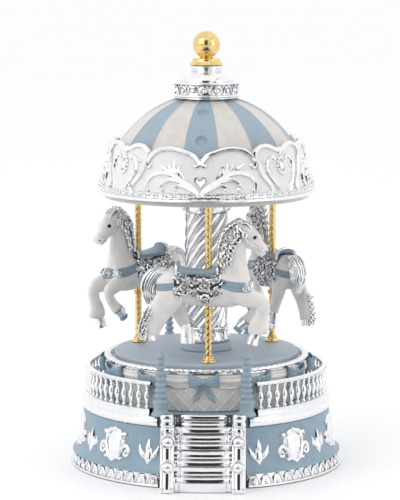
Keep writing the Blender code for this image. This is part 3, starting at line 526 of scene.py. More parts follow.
def base_shell():
    """The flared blue base, its deck, and the wells that the stairs stand in."""
    shape = Shape()
    shell_top = 53.3
    inner = 50.6
    profile = [(45.0, 1.0), (57.0, 1.0), (57.0, FOOT_TOP + 0.2)] + [tuple(p) for p in BASE_PROFILE]
    profile += [(shell_top, STEP_Z + 0.1), (shell_top, DECK), (36.0, DECK), (36.0, DECK - 2.7), (inner, DECK - 2.7)]
    profile += [(inner, 4.0), (45.0, 4.0)]
    shape.turn(profile + profile[:1], 180)
    thing = shape.make("base_shell_paint", PAINT["blue"], "base", ("base_shell",), "blue_paint", 30)
    gap = 0.3
    for side in (-1, 1):
        for half, near in ((STAIR_HALF + gap, 47.3), (WING_HALF + gap, 53.5)):
            middle = side * (near + 40) * MM
            bpy.ops.mesh.primitive_cube_add(size=1, location=(0, middle, 0.014))
            cutter = bpy.context.object
            cutter.scale = (2 * half * MM, 80 * MM, 0.036)
            bpy.ops.object.transform_apply(location=True, rotation=True, scale=True)
            cut = thing.modifiers.new("well", "BOOLEAN")
            cut.operation = "DIFFERENCE"
            cut.object = cutter
            depsgraph = bpy.context.evaluated_depsgraph_get()
            mesh = bpy.data.meshes.new_from_object(thing.evaluated_get(depsgraph))
            thing.modifiers.clear()
            thing.data = mesh
            bpy.data.objects.remove(cutter, do_unlink=True)


def wing_phi(radius):
    return math.degrees(math.asin((WING_HALF + 0.5) / radius))


def foot_ring():
    """A row of round arches standing on a plain lip, each with a small jewel."""
    arches = 26

    def wall_r(z):
        return float(np.interp(z, [1.0, FOOT_TOP], [FOOT_R - 1.0, FOOT_R - 1.9]))

    for side, name in SIDES:
        start = wing_phi(57.5)
        low_phi, high_phi = side + start, side + 180 - start
        shape = Shape()
        profile = smooth([(57.4, 0.1), (FOOT_R - 0.4, 0.0), (FOOT_R, 0.4), (FOOT_R - 0.3, 0.9)], 4).tolist()
        profile += [(wall_r(1.0), 1.0), (wall_r(FOOT_TOP), FOOT_TOP - 0.1), (57.4, FOOT_TOP - 0.1), (57.4, 0.1)]
        shape.turn(profile, 150, start=low_phi, end=high_phi)
        step = (high_phi - low_phi) / arches
        for i in range(arches):
            middle = low_phi + (i + 0.5) * step
            half = step * 0.38
            path = [(middle - half * 1.25, 0.9, 0.5), (middle - half * 1.12, 2.4, 0.55), (middle - half * 0.75, 3.9, 0.6)]
            path += [(middle, 4.55, 0.65), (middle + half * 0.75, 3.9, 0.6), (middle + half * 1.12, 2.4, 0.55)]
            path.append((middle + half * 1.25, 0.9, 0.5))
            relief(shape, wall_r, path, rise=1.35, per_span=3, sides=8)
            relief_ball(shape, wall_r, middle, 1.9, 0.95, 0.7)
        shape.make(f"foot_arcade_{name}", PAINT["silver"], "base", (f"foot_ring_{name}",), "silver_plate")


BALUSTER = smooth([(0.95, 0), (0.95, 0.7), (0.5, 1.3), (0.62, 2.2), (1.05, 4.0), (1.22, 5.4), (0.95, 6.8), (0.5, 7.8),
                   (0.78, 8.4), (0.5, 9.0), (0.85, 9.9), (0.85, 10.7)], 2)


def balustrade():
    """Moulding, plinth, vase balusters and beaded rail on each side of the stairs."""
    post = low("bollard_front_right", 0) + 4.0
    edge = math.degrees(math.atan2(post, 49.5))
    posts_per_side = 29
    reach_of_rail = high("balustrade_right", 0) - 1.7
    for side, name in SIDES:
        shape = Shape()
        first, last = side + 90 - (90 - edge - 5.0), side + 90 + (90 - edge - 5.0)
        outer_first, outer_last = side + 90 - (90 - edge - 0.8), side + 90 + (90 - edge - 0.8)
        low_z = STEP_Z + 0.3
        swell = [(53.7, low_z), (54.3, low_z), (54.75, low_z + 0.5), (55.15, low_z + 1.5), (55.2, low_z + 2.4)]
        swell += [(54.95, low_z + 3.3), (54.5, low_z + 3.8), (54.3, DECK - 0.35), (53.7, DECK - 0.3)]
        shape.turn(smooth(swell, 3).tolist() + [(53.7, low_z)], 150, start=outer_first, end=outer_last)
        plinth = [(51.0, DECK + 0.2), (54.2, DECK - 0.6), (54.5, DECK + 0.1), (54.75, DECK + 0.7), (54.4, DECK + 1.3)]
        plinth += [(54.2, DECK + 1.5), (54.3, DECK + 2.1), (54.45, DECK + 2.5), (54.2, DECK + 2.9), (51.0, DECK + 2.9)]
        shape.turn(smooth(plinth, 3).tolist() + [(51.0, DECK + 0.2)], 130, start=first, end=last)
        middle_r = reach_of_rail - 1.1
        rail = smooth([(middle_r - 1.0, RAIL_TOP - 1.5), (middle_r, RAIL_TOP - 1.8), (middle_r + 1.0, RAIL_TOP - 1.4),
                       (middle_r + 1.1, RAIL_TOP - 0.6), (middle_r + 0.5, RAIL_TOP), (middle_r - 0.5, RAIL_TOP),
                       (middle_r - 1.1, RAIL_TOP - 0.5)], 3, closed=True).tolist()
        shape.turn(rail + rail[:1], 130, start=first, end=last)
        step = (last - first) / posts_per_side
        foot_z = DECK + 2.8
        height = RAIL_TOP - 1.3 - foot_z
        for i in range(posts_per_side):
            x, y, _ = at(first + (i + 0.5) * step, middle_r, 0)
            profile = [(r * 1.12, foot_z + z * height / 10.7) for r, z in BALUSTER]
            shape.turn(profile, 10, (x, y))
        beads = posts_per_side * 3
        for i in range(beads):
            shape.ball(at(first + (i + 0.5) * (last - first) / beads, middle_r + 1.1, RAIL_TOP - 0.9), 0.42, sides=8)
        shape.make(f"balustrade_{name}_plate", PAINT["silver"], "base", (f"balustrade_{name}",), "silver_plate")


def bollards():
    """Blue posts with stepped rings like a folded parasol."""
    foot = low("bollard_front_left")
    tip = high("bollard_front_left")
    for end in ("front", "rear"):
        for side in ("left", "right"):
            node = f"bollard_{end}_{side}"
            centre = [(low(node, a) + high(node, a)) / 2 for a in (0, 1)]
            profile = [(0.01, foot), (3.9, foot), (4.0, foot + 0.6), (3.7, foot + 1.3), (3.1, foot + 1.9)]
            profile += [(2.95, foot + 2.8), (3.15, 34.4), (3.45, 35.4), (3.3, 36.2), (2.75, 36.6)]
            profile = smooth(profile, 3).tolist()
            levels = 8
            for i in range(levels):
                z = 36.8 + i * 2.4
                r = 2.7 - 0.17 * i
                ring = [(r - 0.42, z), (r - 0.3, z + 0.5), (r + 0.12, z + 1.0), (r + 0.18, z + 1.7), (r - 0.25, z + 2.2)]
                profile += smooth(ring, 3).tolist()
            profile += smooth([(1.15, tip - 1.4), (1.05, tip - 0.6), (0.6, tip - 0.1), (0.01, tip)], 4).tolist()
            shape = Shape()
            shape.turn(profile, 24, centre)
            # The bollards share the base's blue paint, but they take the lighter canopy blue here. This painted
            # lightening stands in for light that the shade in their ring crevices takes away.
            shape.make(f"{node}_paint", PAINT["canopy"], "base", (node,), "blue_paint", 60)


def stairs():
    """Bright bowed steps between stringers with a cap, two scroll bosses and a foot."""
    risers = [48.6, 53.0, 57.4, 61.8, 66.2]
    heights = [DECK + 0.3, 25.0, 18.75, 12.5, 6.25, 0.0]
    for end, turn in (("front", 0), ("rear", 180)):
        shape = Shape()
        columns = 36
        rings = []
        for i in range(columns + 1):
            x = -STAIR_HALF + 2 * STAIR_HALF * i / columns
            row = [(x, -47.6, 0.2), (x, -47.6, heights[0])]
            for k, radius in enumerate(risers):
                bow = (STAIR_HALF**2 - x**2) / (2 * radius)
                groove = 0.55 * math.exp(-(((abs(x) - 10.2) / 0.35) ** 2))
                y = -radius + 1.2 - bow + groove
                top, bottom = heights[k], heights[k + 1]
                rise = top - bottom
                for back, share in ((1.5, 0.0), (0.75, 0.03), (0.35, 0.10), (0.1, 0.24), (0.0, 0.42), (0.02, 0.6),
                                    (0.16, 0.78), (0.42, 0.92), (0.6, 1.0)):
                    row.append((x, y + back, top - rise * share + (0.02 if share == 1.0 else 0)))
            row.append((x, row[-1][1], 0.0))
            rings.append(row)
        shape.grid(rings, caps=True)
        for sign in (-1, 1):
            stringer(shape, sign)
        moved = Shape()
        moved.merge(shape, turned_about(turn))
        moved.make(f"stairs_{end}_chrome", PAINT["chrome"], "base", (f"stairs_{end}",), "stair_chrome", 50)


def stringer(shape, sign):
    """One side wall of the stair, from its square cap down to its foot."""
    inner, outer = STAIR_HALF - 0.1, WING_HALF
    outline = smooth([(-54.2, 26.6), (-58.3, 26.0), (-59.0, 22.0), (-60.8, 16.5), (-63.2, 11.0), (-65.0, 6.4),
                      (-66.2, 3.6), (-66.9, 1.8), (-66.9, 0.0)], 4)
    rings = []
    for share, inset in ((0.0, 0.5), (0.06, 0.12), (0.14, 0), (0.3, 0), (0.5, 0), (0.7, 0), (0.86, 0), (0.94, 0.12), (1.0, 0.5)):
        x = sign * (inner + (outer - inner) * share)
        inset += 0.9 * (2 * share - 1) ** 2
        ring = [(x, -54.2, 0.0)] + [(x, y + inset, z - inset * 0.4) for y, z in outline]
        rings.append(ring)
    shape.grid(rings, caps=True)
    rings = []
    top = high("stairs_front")
    for z, grow in ((26.2, -0.5), (26.6, 0.0), (27.5, 0.15), (28.3, -0.35), (28.9, -0.2), (30.0, 0.1), (31.0, 0.1), (top, -0.4)):
        x0, x1 = sorted((sign * (inner - grow * 0.4 + 0.3), sign * (outer + min(grow, 0.0))))
        y0, y1 = -59.0 - grow, -54.3
        front = [(x0 + (x1 - x0) * t, y0 + 1.1 * abs(2 * t - 1) ** 3, z) for t in np.linspace(0, 1, 9)]
        rings.append(front + [(x1, y1, z), (x0, y1, z)])
    shape.grid(rings, caps=True)
    middle = sign * (inner + outer) / 2
    for y, z, radius in ((-60.6, 20.4, 2.5), (-64.4, 10.4, 2.5)):
        for k in range(2):
            offset = sign * (k * 1.5 - 0.4)
            shape.ball((middle + offset, y + 0.9, z), radius - 0.7 * k, 0.8, (0, -1, 0.35), 16)
        curl = []
        for i in range(15):
            angle = math.radians(200 - 30 * i)
            spread = radius + 0.5 - 0.06 * i
            curl.append((middle + sign * spread * math.cos(angle), y + 0.4, z + spread * math.sin(angle)))
        shape.tube(curl, np.linspace(0.75, 0.4, len(curl)), 8)
    for x in (inner + 0.5, outer - 0.5):
        edge = [(sign * x, y - 0.1, z) for y, z in outline[4:]]
        shape.tube(edge, 0.5, 8)


def applique_dart(shape, phi):
    """A tulip of three pointed petals over a small knot."""
    z0 = 14.2
    relief(shape, base_r, [(phi, z0 - 5.4, 0.1), (phi, z0 - 3.2, 1.9), (phi, z0 - 0.6, 1.6), (phi, z0 + 2.6, 0.4)], 0.5, 5)
    relief(shape, base_r, [(phi, z0 - 1.6, 0.5), (phi, z0 + 0.9, 1.5), (phi, z0 + 2.9, 1.2), (phi, z0 + 5.4, 0.08)], 0.8, 6)
    for sign in (-1, 1):
        petal = [(phi + sign * 0.4, z0 - 3.2, 0.5), (phi + sign * 2.2, z0 - 2.1, 1.1)]
        petal += [(phi + sign * 3.8, z0 - 0.2, 1.1), (phi + sign * 4.9, z0 + 2.6, 0.08)]
        relief(shape, base_r, petal, 0.8, 6)
    relief_ball(shape, base_r, phi, z0 - 1.9, 1.1, 0.9)


def applique_cartouche(shape, phi):
    """A shield with an oval jewel in its middle, a leafy crest and scrolled shoulders."""
    z0 = 14.6
    oval = [(phi + 2.9 * math.sin(a), z0 + 0.4 + 3.7 * math.cos(a), 0.62) for a in np.linspace(0, math.tau, 17)]
    relief(shape, base_r, oval, 1.4, 3)
    oval = [(phi + 1.7 * math.sin(a), z0 + 0.4 + 2.3 * math.cos(a), 0.42) for a in np.linspace(0, math.tau, 13)]
    relief(shape, base_r, oval, 1.5, 3)
    relief_ball(shape, base_r, phi, z0 + 0.4, 1.25, 0.8)
    field = [(phi, z0 + 6.2, 1.6), (phi, z0 + 3.0, 4.4), (phi, z0 - 1.0, 4.2), (phi, z0 - 5.6, 1.2)]
    relief(shape, base_r, field, 0.24, 5, 14)
    for sign in (-1, 1):
        outer = [(phi, z0 + 6.9, 0.7), (phi + sign * 2.4, z0 + 6.6, 1.1), (phi + sign * 4.4, z0 + 5.0, 1.05)]
        outer += [(phi + sign * 5.3, z0 + 2.2, 0.95), (phi + sign * 4.8, z0 - 1.2, 0.9), (phi + sign * 3.0, z0 - 4.4, 1.0)]
        outer += [(phi, z0 - 6.4, 0.7)]
        relief(shape, base_r, outer, 1.1, 4)
        scroll = [(phi + sign * 4.4, z0 - 1.4, 0.9), (phi + sign * 6.6, z0 + 0.6, 1.05), (phi + sign * 8.7, z0 - 0.8, 1.0)]
        scroll += [(phi + sign * 8.4, z0 - 3.2, 0.85), (phi + sign * 6.6, z0 - 3.6, 0.7), (phi + sign * 6.3, z0 - 2.2, 0.5)]
        relief(shape, base_r, scroll, 1.1, 4)
        relief_ball(shape, base_r, phi + sign * 7.2, z0 - 1.6, 1.0, 0.9)
        leaf_up = [(phi + sign * 4.2, z0 + 4.4, 0.7), (phi + sign * 6.2, z0 + 5.6, 1.0), (phi + sign * 7.6, z0 + 4.0, 0.3)]
        relief(shape, base_r, leaf_up, 1.1, 4)
        relief(shape, base_r, [(phi + sign * 2.4, z0 - 4.8, 0.8), (phi + sign * 4.6, z0 - 5.2, 0.8),
                               (phi + sign * 6.0, z0 - 4.6, 0.2)], 1.1, 4)
        relief_ball(shape, base_r, phi + sign * 1.7, z0 + 6.4, 1.0, 0.9)
        relief_ball(shape, base_r, phi + sign * 4.0, z0 + 3.8, 0.9, 0.9)
        relief_ball(shape, base_r, phi + sign * 4.2, z0 - 2.6, 0.9, 0.9)
    relief_ball(shape, base_r, phi, z0 + 7.0, 1.25, 0.9)
    relief_ball(shape, base_r, phi, z0 - 6.2, 1.0, 0.9)


def appliques():
    shape = Shape()
    for turn in (1, -1):
        for phi, kind in ((25, "dart"), (44, "shield"), (62, "dart"), (80, "shield"), (100, "shield"), (118, "dart"),
                          (136, "shield"), (155, "dart")):
            draw = applique_dart if kind == "dart" else applique_cartouche
            draw(shape, turn * phi)
    shape.make("base_appliques", PAINT["silver"], "base", slot="silver_plate")


base_shell()
foot_ring()
balustrade()
bollards()
stairs()
appliques()

# ---- Drum and platform ----

DRUM_LINE = smooth([(41.3, SILL), (42.0, 33.0), (42.9, 39.0), (43.8, DRUM_TOP)], 5)


def drum_r(z):
    return float(np.interp(z, DRUM_LINE[:, 1], DRUM_LINE[:, 0]))


def drum():
    """The cream drum with its raised diamond lattice."""
    shape = Shape()
    profile = [tuple(p) for p in DRUM_LINE] + [(9.0, DRUM_TOP), (9.0, DRUM_TOP - 2), (41.0, DRUM_TOP - 2)]
    profile += [(39.2, SILL), DRUM_LINE[0]]
    shape.turn(profile, 160)
    lines = 48
    rise = DRUM_TOP - SILL
    sweep = 20.0
    for sign in (-1, 1):
        for i in range(lines):
            start = i * 360 / lines
            path = [(start + sign * sweep * t, SILL + rise * t, 0.36) for t in np.linspace(0, 1, 9)]
            relief(shape, drum_r, path, 0.9, 1, 5)
    shape.make("lattice_drum_paint", PAINT["drum"], "base", ("lattice_drum",), "drum_cream")


def drum_rim():
    """The rope-twisted ring that the platform turns inside."""
    shape = Shape()
    steps, strands = 720, 90
    middle_r, middle_z = RIM_R - 1.15, RIM_TOP - 1.15
    rings = []
    for i in range(steps):
        phi = i * 360 / steps
        ring = []
        for k in range(14):
            angle = math.tau * k / 14
            r = 1.0 + 0.15 * math.cos(strands * math.radians(phi) + 2 * angle)
            ring.append(at(phi, middle_r + r * math.cos(angle), middle_z + r * math.sin(angle)))
        rings.append(ring)
    shape.grid(rings, along=True)
    band = [(42.35, DRUM_TOP + 0.3), (RIM_R - 0.4, DRUM_TOP + 0.3), (RIM_R - 0.6, RIM_TOP - 1.2), (43.6, RIM_TOP - 0.6)]
    band += [(43.0, RIM_TOP - 0.25), (42.5, RIM_TOP - 0.5), (42.35, DRUM_TOP + 0.3)]
    shape.turn(band, 200)
    shape.make("drum_rim_plate", PAINT["silver"], "base", ("drum_rim",), "silver_plate")


def swags():
    """Twelve cloth swags with beaded hems, and a ribbon bow where each pair meets."""
    cloth, beads, bows = Shape(), Shape(), Shape()
    count = 12
    top = DRUM_TOP - 0.1
    for i in range(count):
        start = i * 30.0
        rings = []
        across = np.linspace(0, 1, 29)
        for v in np.linspace(0, 1, 12):
            row = []
            for u in across:
                hang = 2.4 + 3.4 * math.sin(math.pi * u)
                fold = 0.28 * math.sin(v * math.pi * 5.0) * math.sin(math.pi * u) ** 0.5
                bulge = 0.55 + 1.0 * math.sin(math.pi * min(v * 1.05, 1)) * (0.4 + 0.6 * math.sin(math.pi * u))
                z = top - hang * v
                row.append(at(start + 30 * u, drum_r(z) + bulge + fold, z))
            rings.append(row)
        cloth.grid(rings, around=False)
        for u in np.linspace(0.04, 0.96, 23):
            hang = 2.4 + 3.4 * math.sin(math.pi * u)
            z = top - hang
            beads.ball(at(start + 30 * u, drum_r(z) + 0.6, z), 0.5, sides=8)
        for u in np.linspace(0.06, 0.94, 17):
            z = top - (2.4 + 3.4 * math.sin(math.pi * u)) * 0.55 - 0.2
            beads.ball(at(start + 30 * u, drum_r(z) + 1.45, z), 0.24, sides=6)
        bow_at(bows, start)
    cloth.make("swag_cloth", PAINT["drum"], "base", ("swag_band",), "drum_cream")
    beads.make("swag_beads", PAINT["silver"], "base", slot="silver_plate")
    bows.make("swag_bows", PAINT["blue"], "base", slot="blue_paint")


def bow_at(shape, phi):
    """A ribbon bow: two full loops with open ends, a knot and two wavy tails."""
    z0 = DRUM_TOP - 2.6

    def bow_r(z):
        return drum_r(min(z, DRUM_TOP)) + 1.2

    for sign in (-1, 1):
        rings = []
        for t in np.linspace(0, 1, 17):
            angle = math.tau * t
            reach_out = 4.1 - 3.9 * math.cos(angle)
            width = 0.8 + 2.3 * (reach_out / 8.0)
            lift = 1.5 * math.sin(angle)
            ring = []
            for s in np.linspace(-1, 1, 7):
                z = z0 + s * width + 0.5 * reach_out / 8
                crease = 0.16 * math.cos(s * 9.4)
                point, _ = on_surface(bow_r, phi + sign * (0.2 + reach_out), z, lift + 1.3 - 0.3 * s * s + crease)
                ring.append(point)
            rings.append(ring)
        shape.grid(rings, around=False)
        tail = []
        for t in np.linspace(0, 1, 11):
            width = 1.1 + 1.1 * t
            middle = phi + sign * (0.7 + 3.9 * t**1.2)
            z = z0 - 0.8 - 8.0 * t
            ring = []
            for s in np.linspace(-1, 1, 6):
                slant = sign * s * 0.9 * t
                point, _ = on_surface(bow_r, middle + s * width, z - slant, 0.35 + 0.5 * math.sin(t * 9 + 1.5 * s))
                ring.append(point)
            tail.append(ring)
        shape.grid(tail, around=False)
    point, normal = on_surface(bow_r, phi, z0 + 0.1, 1.2)
    shape.ball(point, 1.7, 0.8, normal, 12)


def platform():
    shape = Shape()
    bottom = low("turntable_platform")
    profile = [(1.7, bottom), (PLATFORM_R - 0.5, bottom)]
    profile += smooth([(PLATFORM_R - 0.1, bottom + 0.5), (PLATFORM_R, bottom + 1.4), (PLATFORM_R - 0.1, PLATFORM_TOP - 0.4),
                       (PLATFORM_R - 0.6, PLATFORM_TOP)], 4).tolist()
    profile += [(1.7, PLATFORM_TOP), (1.7, bottom)]
    shape.turn(profile, 180)
    shape.make("platform_paint", PAINT["platform"], "carousel", ("turntable_platform",), "platform_blue")


drum()
drum_rim()
swags()
platform()

# ---- Column and poles ----


def column():
    """A rope-fluted shaft that rises to the right, on a plinth with a leaf collar."""
    flutes, turns = 10, 0.85
    shape = Shape()
    levels, sides = 150, flutes * 12
    height = COLUMN_HIGH - COLUMN_LOW
    rings = []
    for i in range(levels + 1):
        z = COLUMN_LOW + height * i / levels
        turn = 360 * turns * i / levels
        ring = []
        for k in range(sides):
            wave = abs(math.sin(math.pi * flutes * k / sides))
            ring.append(at(turn + 360 * k / sides, COLUMN_R - 1.55 + 1.55 * wave**0.75, z))
        rings.append(ring)
    shape.grid(rings, caps=True)
    shape.make("column_plate", PAINT["silver"], "carousel", ("column",), "silver_plate", 70)
    plinth_r = reach("column_base")
    bottom = low("column_base")
    plinth = Shape()
    profile = [(0.01, bottom), (plinth_r, bottom), (plinth_r, bottom + 0.3)]
    profile += smooth([(plinth_r, 52.2), (plinth_r - 0.15, 52.9), (plinth_r - 0.8, 53.3), (9.2, 53.4)], 4).tolist()
    profile += [(9.0, 54.0), (0.01, 54.0)]
    plinth.turn(profile, 96)
    plinth.make("column_plinth_paint", PAINT["platform"], "carousel", ("column_base",), "platform_blue")
    collar = Shape()
    collar_r = smooth([(9.6, 53.3), (9.9, 54.6), (9.3, 56.4), (9.2, 58.4), (9.9, 59.8), (9.3, 60.6)], 4)
    collar.turn([(8.0, 53.3)] + collar_r.tolist() + [(8.0, 60.6), (8.0, 53.3)], 96)

    def leaf_r(z):
        return float(np.interp(z, collar_r[:, 1], collar_r[:, 0]))

    leaves = 12
    for i in range(leaves):
        phi = i * 360 / leaves
        collar_leaf(collar, leaf_r, phi, 54.0, 6.0)
        relief_ball(collar, leaf_r, phi + 180 / leaves, 54.5, 0.7)
        curl = [(phi + 15, 56.0, 0.45), (phi + 19, 57.8, 0.5), (phi + 15, 59.2, 0.5), (phi + 11.5, 58.0, 0.35)]
        relief(collar, leaf_r, curl, 1.1, 4, 6)
    collar.make("column_collar_plate", PAINT["carved"], "carousel", slot="silver_plate")
    capital = Shape()
    cap_low, cap_high = low("column_capital"), high("column_capital")
    line = smooth([(9.4, cap_low), (9.9, 112.2), (10.2, 113.6), (11.4, 115.4), (13.2, 116.4), (13.4, cap_high)], 4)
    capital.turn([(1.8, cap_low)] + line.tolist() + [(1.8, cap_high), (1.8, cap_low)], 96)

    def capital_r(z):
        return float(np.interp(z, line[:, 1], line[:, 0]))

    for i in range(leaves):
        collar_leaf(capital, capital_r, i * 360 / leaves, cap_low + 0.4, 5.0)
        relief_ball(capital, capital_r, (i + 0.5) * 360 / leaves, 115.6, 0.8)
    capital.make("column_capital_plate", PAINT["carved"], "carousel", ("column_capital",), "silver_plate")


def collar_leaf(shape, radius_at, phi, z, height):
    """An upright leaf with a midrib and two side lobes."""
    relief(shape, radius_at, [(phi, z, 0.8), (phi, z + height * 0.4, 1.25), (phi, z + height * 0.8, 0.9),
                              (phi, z + height, 0.1)], 0.7, 4, 8)
    for sign in (-1, 1):
        relief(shape, radius_at, [(phi + sign * 2, z, 0.5), (phi + sign * 7, z + height * 0.35, 0.75),
                                  (phi + sign * 9, z + height * 0.62, 0.15)], 0.8, 4, 6)


def poles():
    """Gold rope poles with a turned flange on the platform and a collar under each horse."""
    for i, name in enumerate(("front", "right", "left")):
        node = f"pole_{name}"
        x, y = ((low(node, a) + high(node, a)) / 2 for a in (0, 1))
        bottom, top = low(node), high(node)
        shape = Shape()
        strands, lead, radius = 3, 8.5, 1.5
        levels, sides = 300, 18
        rings = []
        for level in range(levels + 1):
            z = bottom + (top - bottom) * level / levels
            ring = []
            for k in range(sides):
                angle = math.tau * k / sides
                groove = abs(math.cos(strands / 2 * (angle - math.tau * z / lead)))
                r = radius - 0.26 + 0.26 * groove**0.6
                ring.append((x + r * math.cos(angle), y + r * math.sin(angle), z))
            rings.append(ring)
        shape.grid(rings, caps=True)
        shape.make(f"{node}_rope", PAINT["gold"], "carousel", (node,), "gold_plate", 60)
        fittings = Shape()
        base = low(f"pole_flange_{name}")
        line = [(1.6, base), (3.3, base), (3.3, base + 0.35), (3.0, base + 0.75), (2.3, base + 1.0), (2.05, base + 1.5)]
        line += [(2.2, base + 1.9), (1.95, base + 2.3), (1.6, base + 2.4)]
        fittings.turn(line, 32, (x, y))
        ring_low = low(f"pole_collar_{name}")
        line = smooth([(1.6, ring_low), (2.05, ring_low + 0.1), (2.2, ring_low + 0.4), (2.0, ring_low + 0.75),
                       (2.2, ring_low + 1.15), (2.05, ring_low + 1.6), (1.6, ring_low + 1.7)], 3)
        fittings.turn(line.tolist(), 28, (x, y))
        fittings.make(f"pole_fittings_{name}", PAINT["gold"], "carousel",
                      (f"pole_flange_{name}", f"pole_collar_{name}"), "gold_plate")


column()
poles()

# ---- Canopy ----


def sphere_r(z):
    return math.sqrt(max(DOME_R**2 - (z - DOME_CENTRE) ** 2, 0.01))


def valance_r(z):
    share = (z - VALANCE_LOW) / (VALANCE_HIGH - VALANCE_LOW)
    return VALANCE_R - 0.9 + (42.4 - 48.3) * share - 0.5 * math.sin(math.pi * share)


def dome():
    """Sixteen painted gores, each a little hollow between raised seams, with two dimples in the front one."""
    shape = Shape()
    seams = Shape()
    low_angle = math.degrees(math.asin((130.0 - DOME_CENTRE) / DOME_R))
    high_angle = math.degrees(math.acos(9.5 / DOME_R))
    gores, across, up = 16, 14, 46
    dimples = ((0.0, 156.9), (0.0, 145.6))
    for g in range(gores):
        middle = PATTERN_PHI + g * 360 / gores
        fine = 4 if g == 0 else 1
        rings = []
        for i in range(up * fine + 1):
            latitude = math.radians(low_angle + (high_angle - low_angle) * i / (up * fine))
            row = []
            for k in range(across * fine + 1):
                share = k / (across * fine) * 2 - 1
                phi = middle + share * 180 / gores
                sag = 0.22 * (1 - share**4)
                r = DOME_R - 0.3 - sag
                point = at(phi, r * math.cos(latitude), DOME_CENTRE + r * math.sin(latitude))
                if g == 0:
                    for d_phi, d_z in dimples:
                        centre = at(middle + d_phi, sphere_r(d_z), d_z)
                        gap = np.linalg.norm(point - centre)
                        depth = 1.35 * min(max((2.75 - gap) / 0.9, 0), 1) ** 0.8
                        inward = unit(np.array((0, 0, DOME_CENTRE)) - point)
                        point = point + inward * depth
                row.append(point)
            rings.append(row)
        shape.grid(rings, around=False, slot=g % 2)
        seam = []
        for latitude in np.radians(np.linspace(low_angle, high_angle, 40)):
            r = DOME_R - 0.28
            seam.append(at(middle + 180 / gores, r * math.cos(latitude), DOME_CENTRE + r * math.sin(latitude)))
        seams.tube(seam, 0.16, 6)
    shape.make("canopy_dome_paint", [PAINT["canopy"], PAINT["cream"]], "carousel", ("canopy_dome",), "canopy_paint", 50)
    seams.make("canopy_seams", PAINT["cream"], "carousel", slot="canopy_paint")


LOBE = [(0.0, 138.0), (4.0, 139.6), (8.5, 141.0), (13.0, 142.0), (17.4, 142.4), (22.5, 142.1), (26.6, 140.9),
        (30.0, 138.8), (31.8, 136.4)]
SHIELD_PHI = 50.5
SHIELD_TOP = [(18.9, 139.2), (17.2, 141.4), (13.6, 142.9), (9.0, 142.9), (5.0, 141.7), (1.6, 140.8), (0.0, 141.6)]
SIDE_SHARE = 0.65


def pattern_place(phi):
    """Which panel or shield a direction falls in: its kind, the offset from its middle and its width share."""
    around = (phi - PATTERN_PHI + 180) % 360 - 180
    folded = abs(around)
    folded = min(folded, 180 - folded) if folded > 90 else folded
    if folded < SHIELD_PHI - 18.9:
        return "panel", folded, 1.0
    if folded <= SHIELD_PHI + 18.9:
        return "shield", abs(folded - SHIELD_PHI), 1.0
    return "panel", 90 - folded, SIDE_SHARE


def valance_top(phi):
    kind, offset, share = pattern_place(phi)
    if kind == "panel":
        lobe = np.array(LOBE)
        return float(np.interp(offset / share, lobe[:, 0], lobe[:, 1])) + 0.1
    top = np.array(SHIELD_TOP)[::-1]
    return float(np.interp(offset, top[:, 0], top[:, 1])) + 0.1


def valance():
    """The pearl skirt with its lobed edge."""
    steps = 480
    rings = []
    thickness = 1.1
    for i in range(steps):
        phi = i * 360 / steps
        top = valance_top(phi)
        heights = np.linspace(VALANCE_LOW + 0.5, top, 12)
        outer = [at(phi, valance_r(z), z) for z in heights]
        inner = [at(phi, max(valance_r(z) - thickness, 36), z) for z in heights[::-1]]
        rings.append(outer + inner)
    shape = Shape()
    shape.grid(rings, along=True)
    shape.make("valance_paint", PAINT["pearl"], "carousel", ("canopy_valance",), "canopy_pearl", 50)


def heart(shape, phi, z):
    outline = []
    for t in np.linspace(0, math.tau, 25)[:-1]:
        x = 16 * math.sin(t) ** 3
        y = 13 * math.cos(t) - 5 * math.cos(2 * t) - 2 * math.cos(3 * t) - math.cos(4 * t)
        outline.append((x * 0.155, y * 0.155))
    scale = math.degrees(1 / valance_r(z))
    rings = []
    for grow, lift in ((1.12, -0.2), (1.12, 0.5), (1.0, 0.95), (0.72, 0.9), (0.4, 0.45), (0.02, 0.25)):
        rings.append([on_surface(valance_r, phi + x * grow * scale, z + y * grow, lift)[0] for x, y in outline])
    shape.grid(rings)


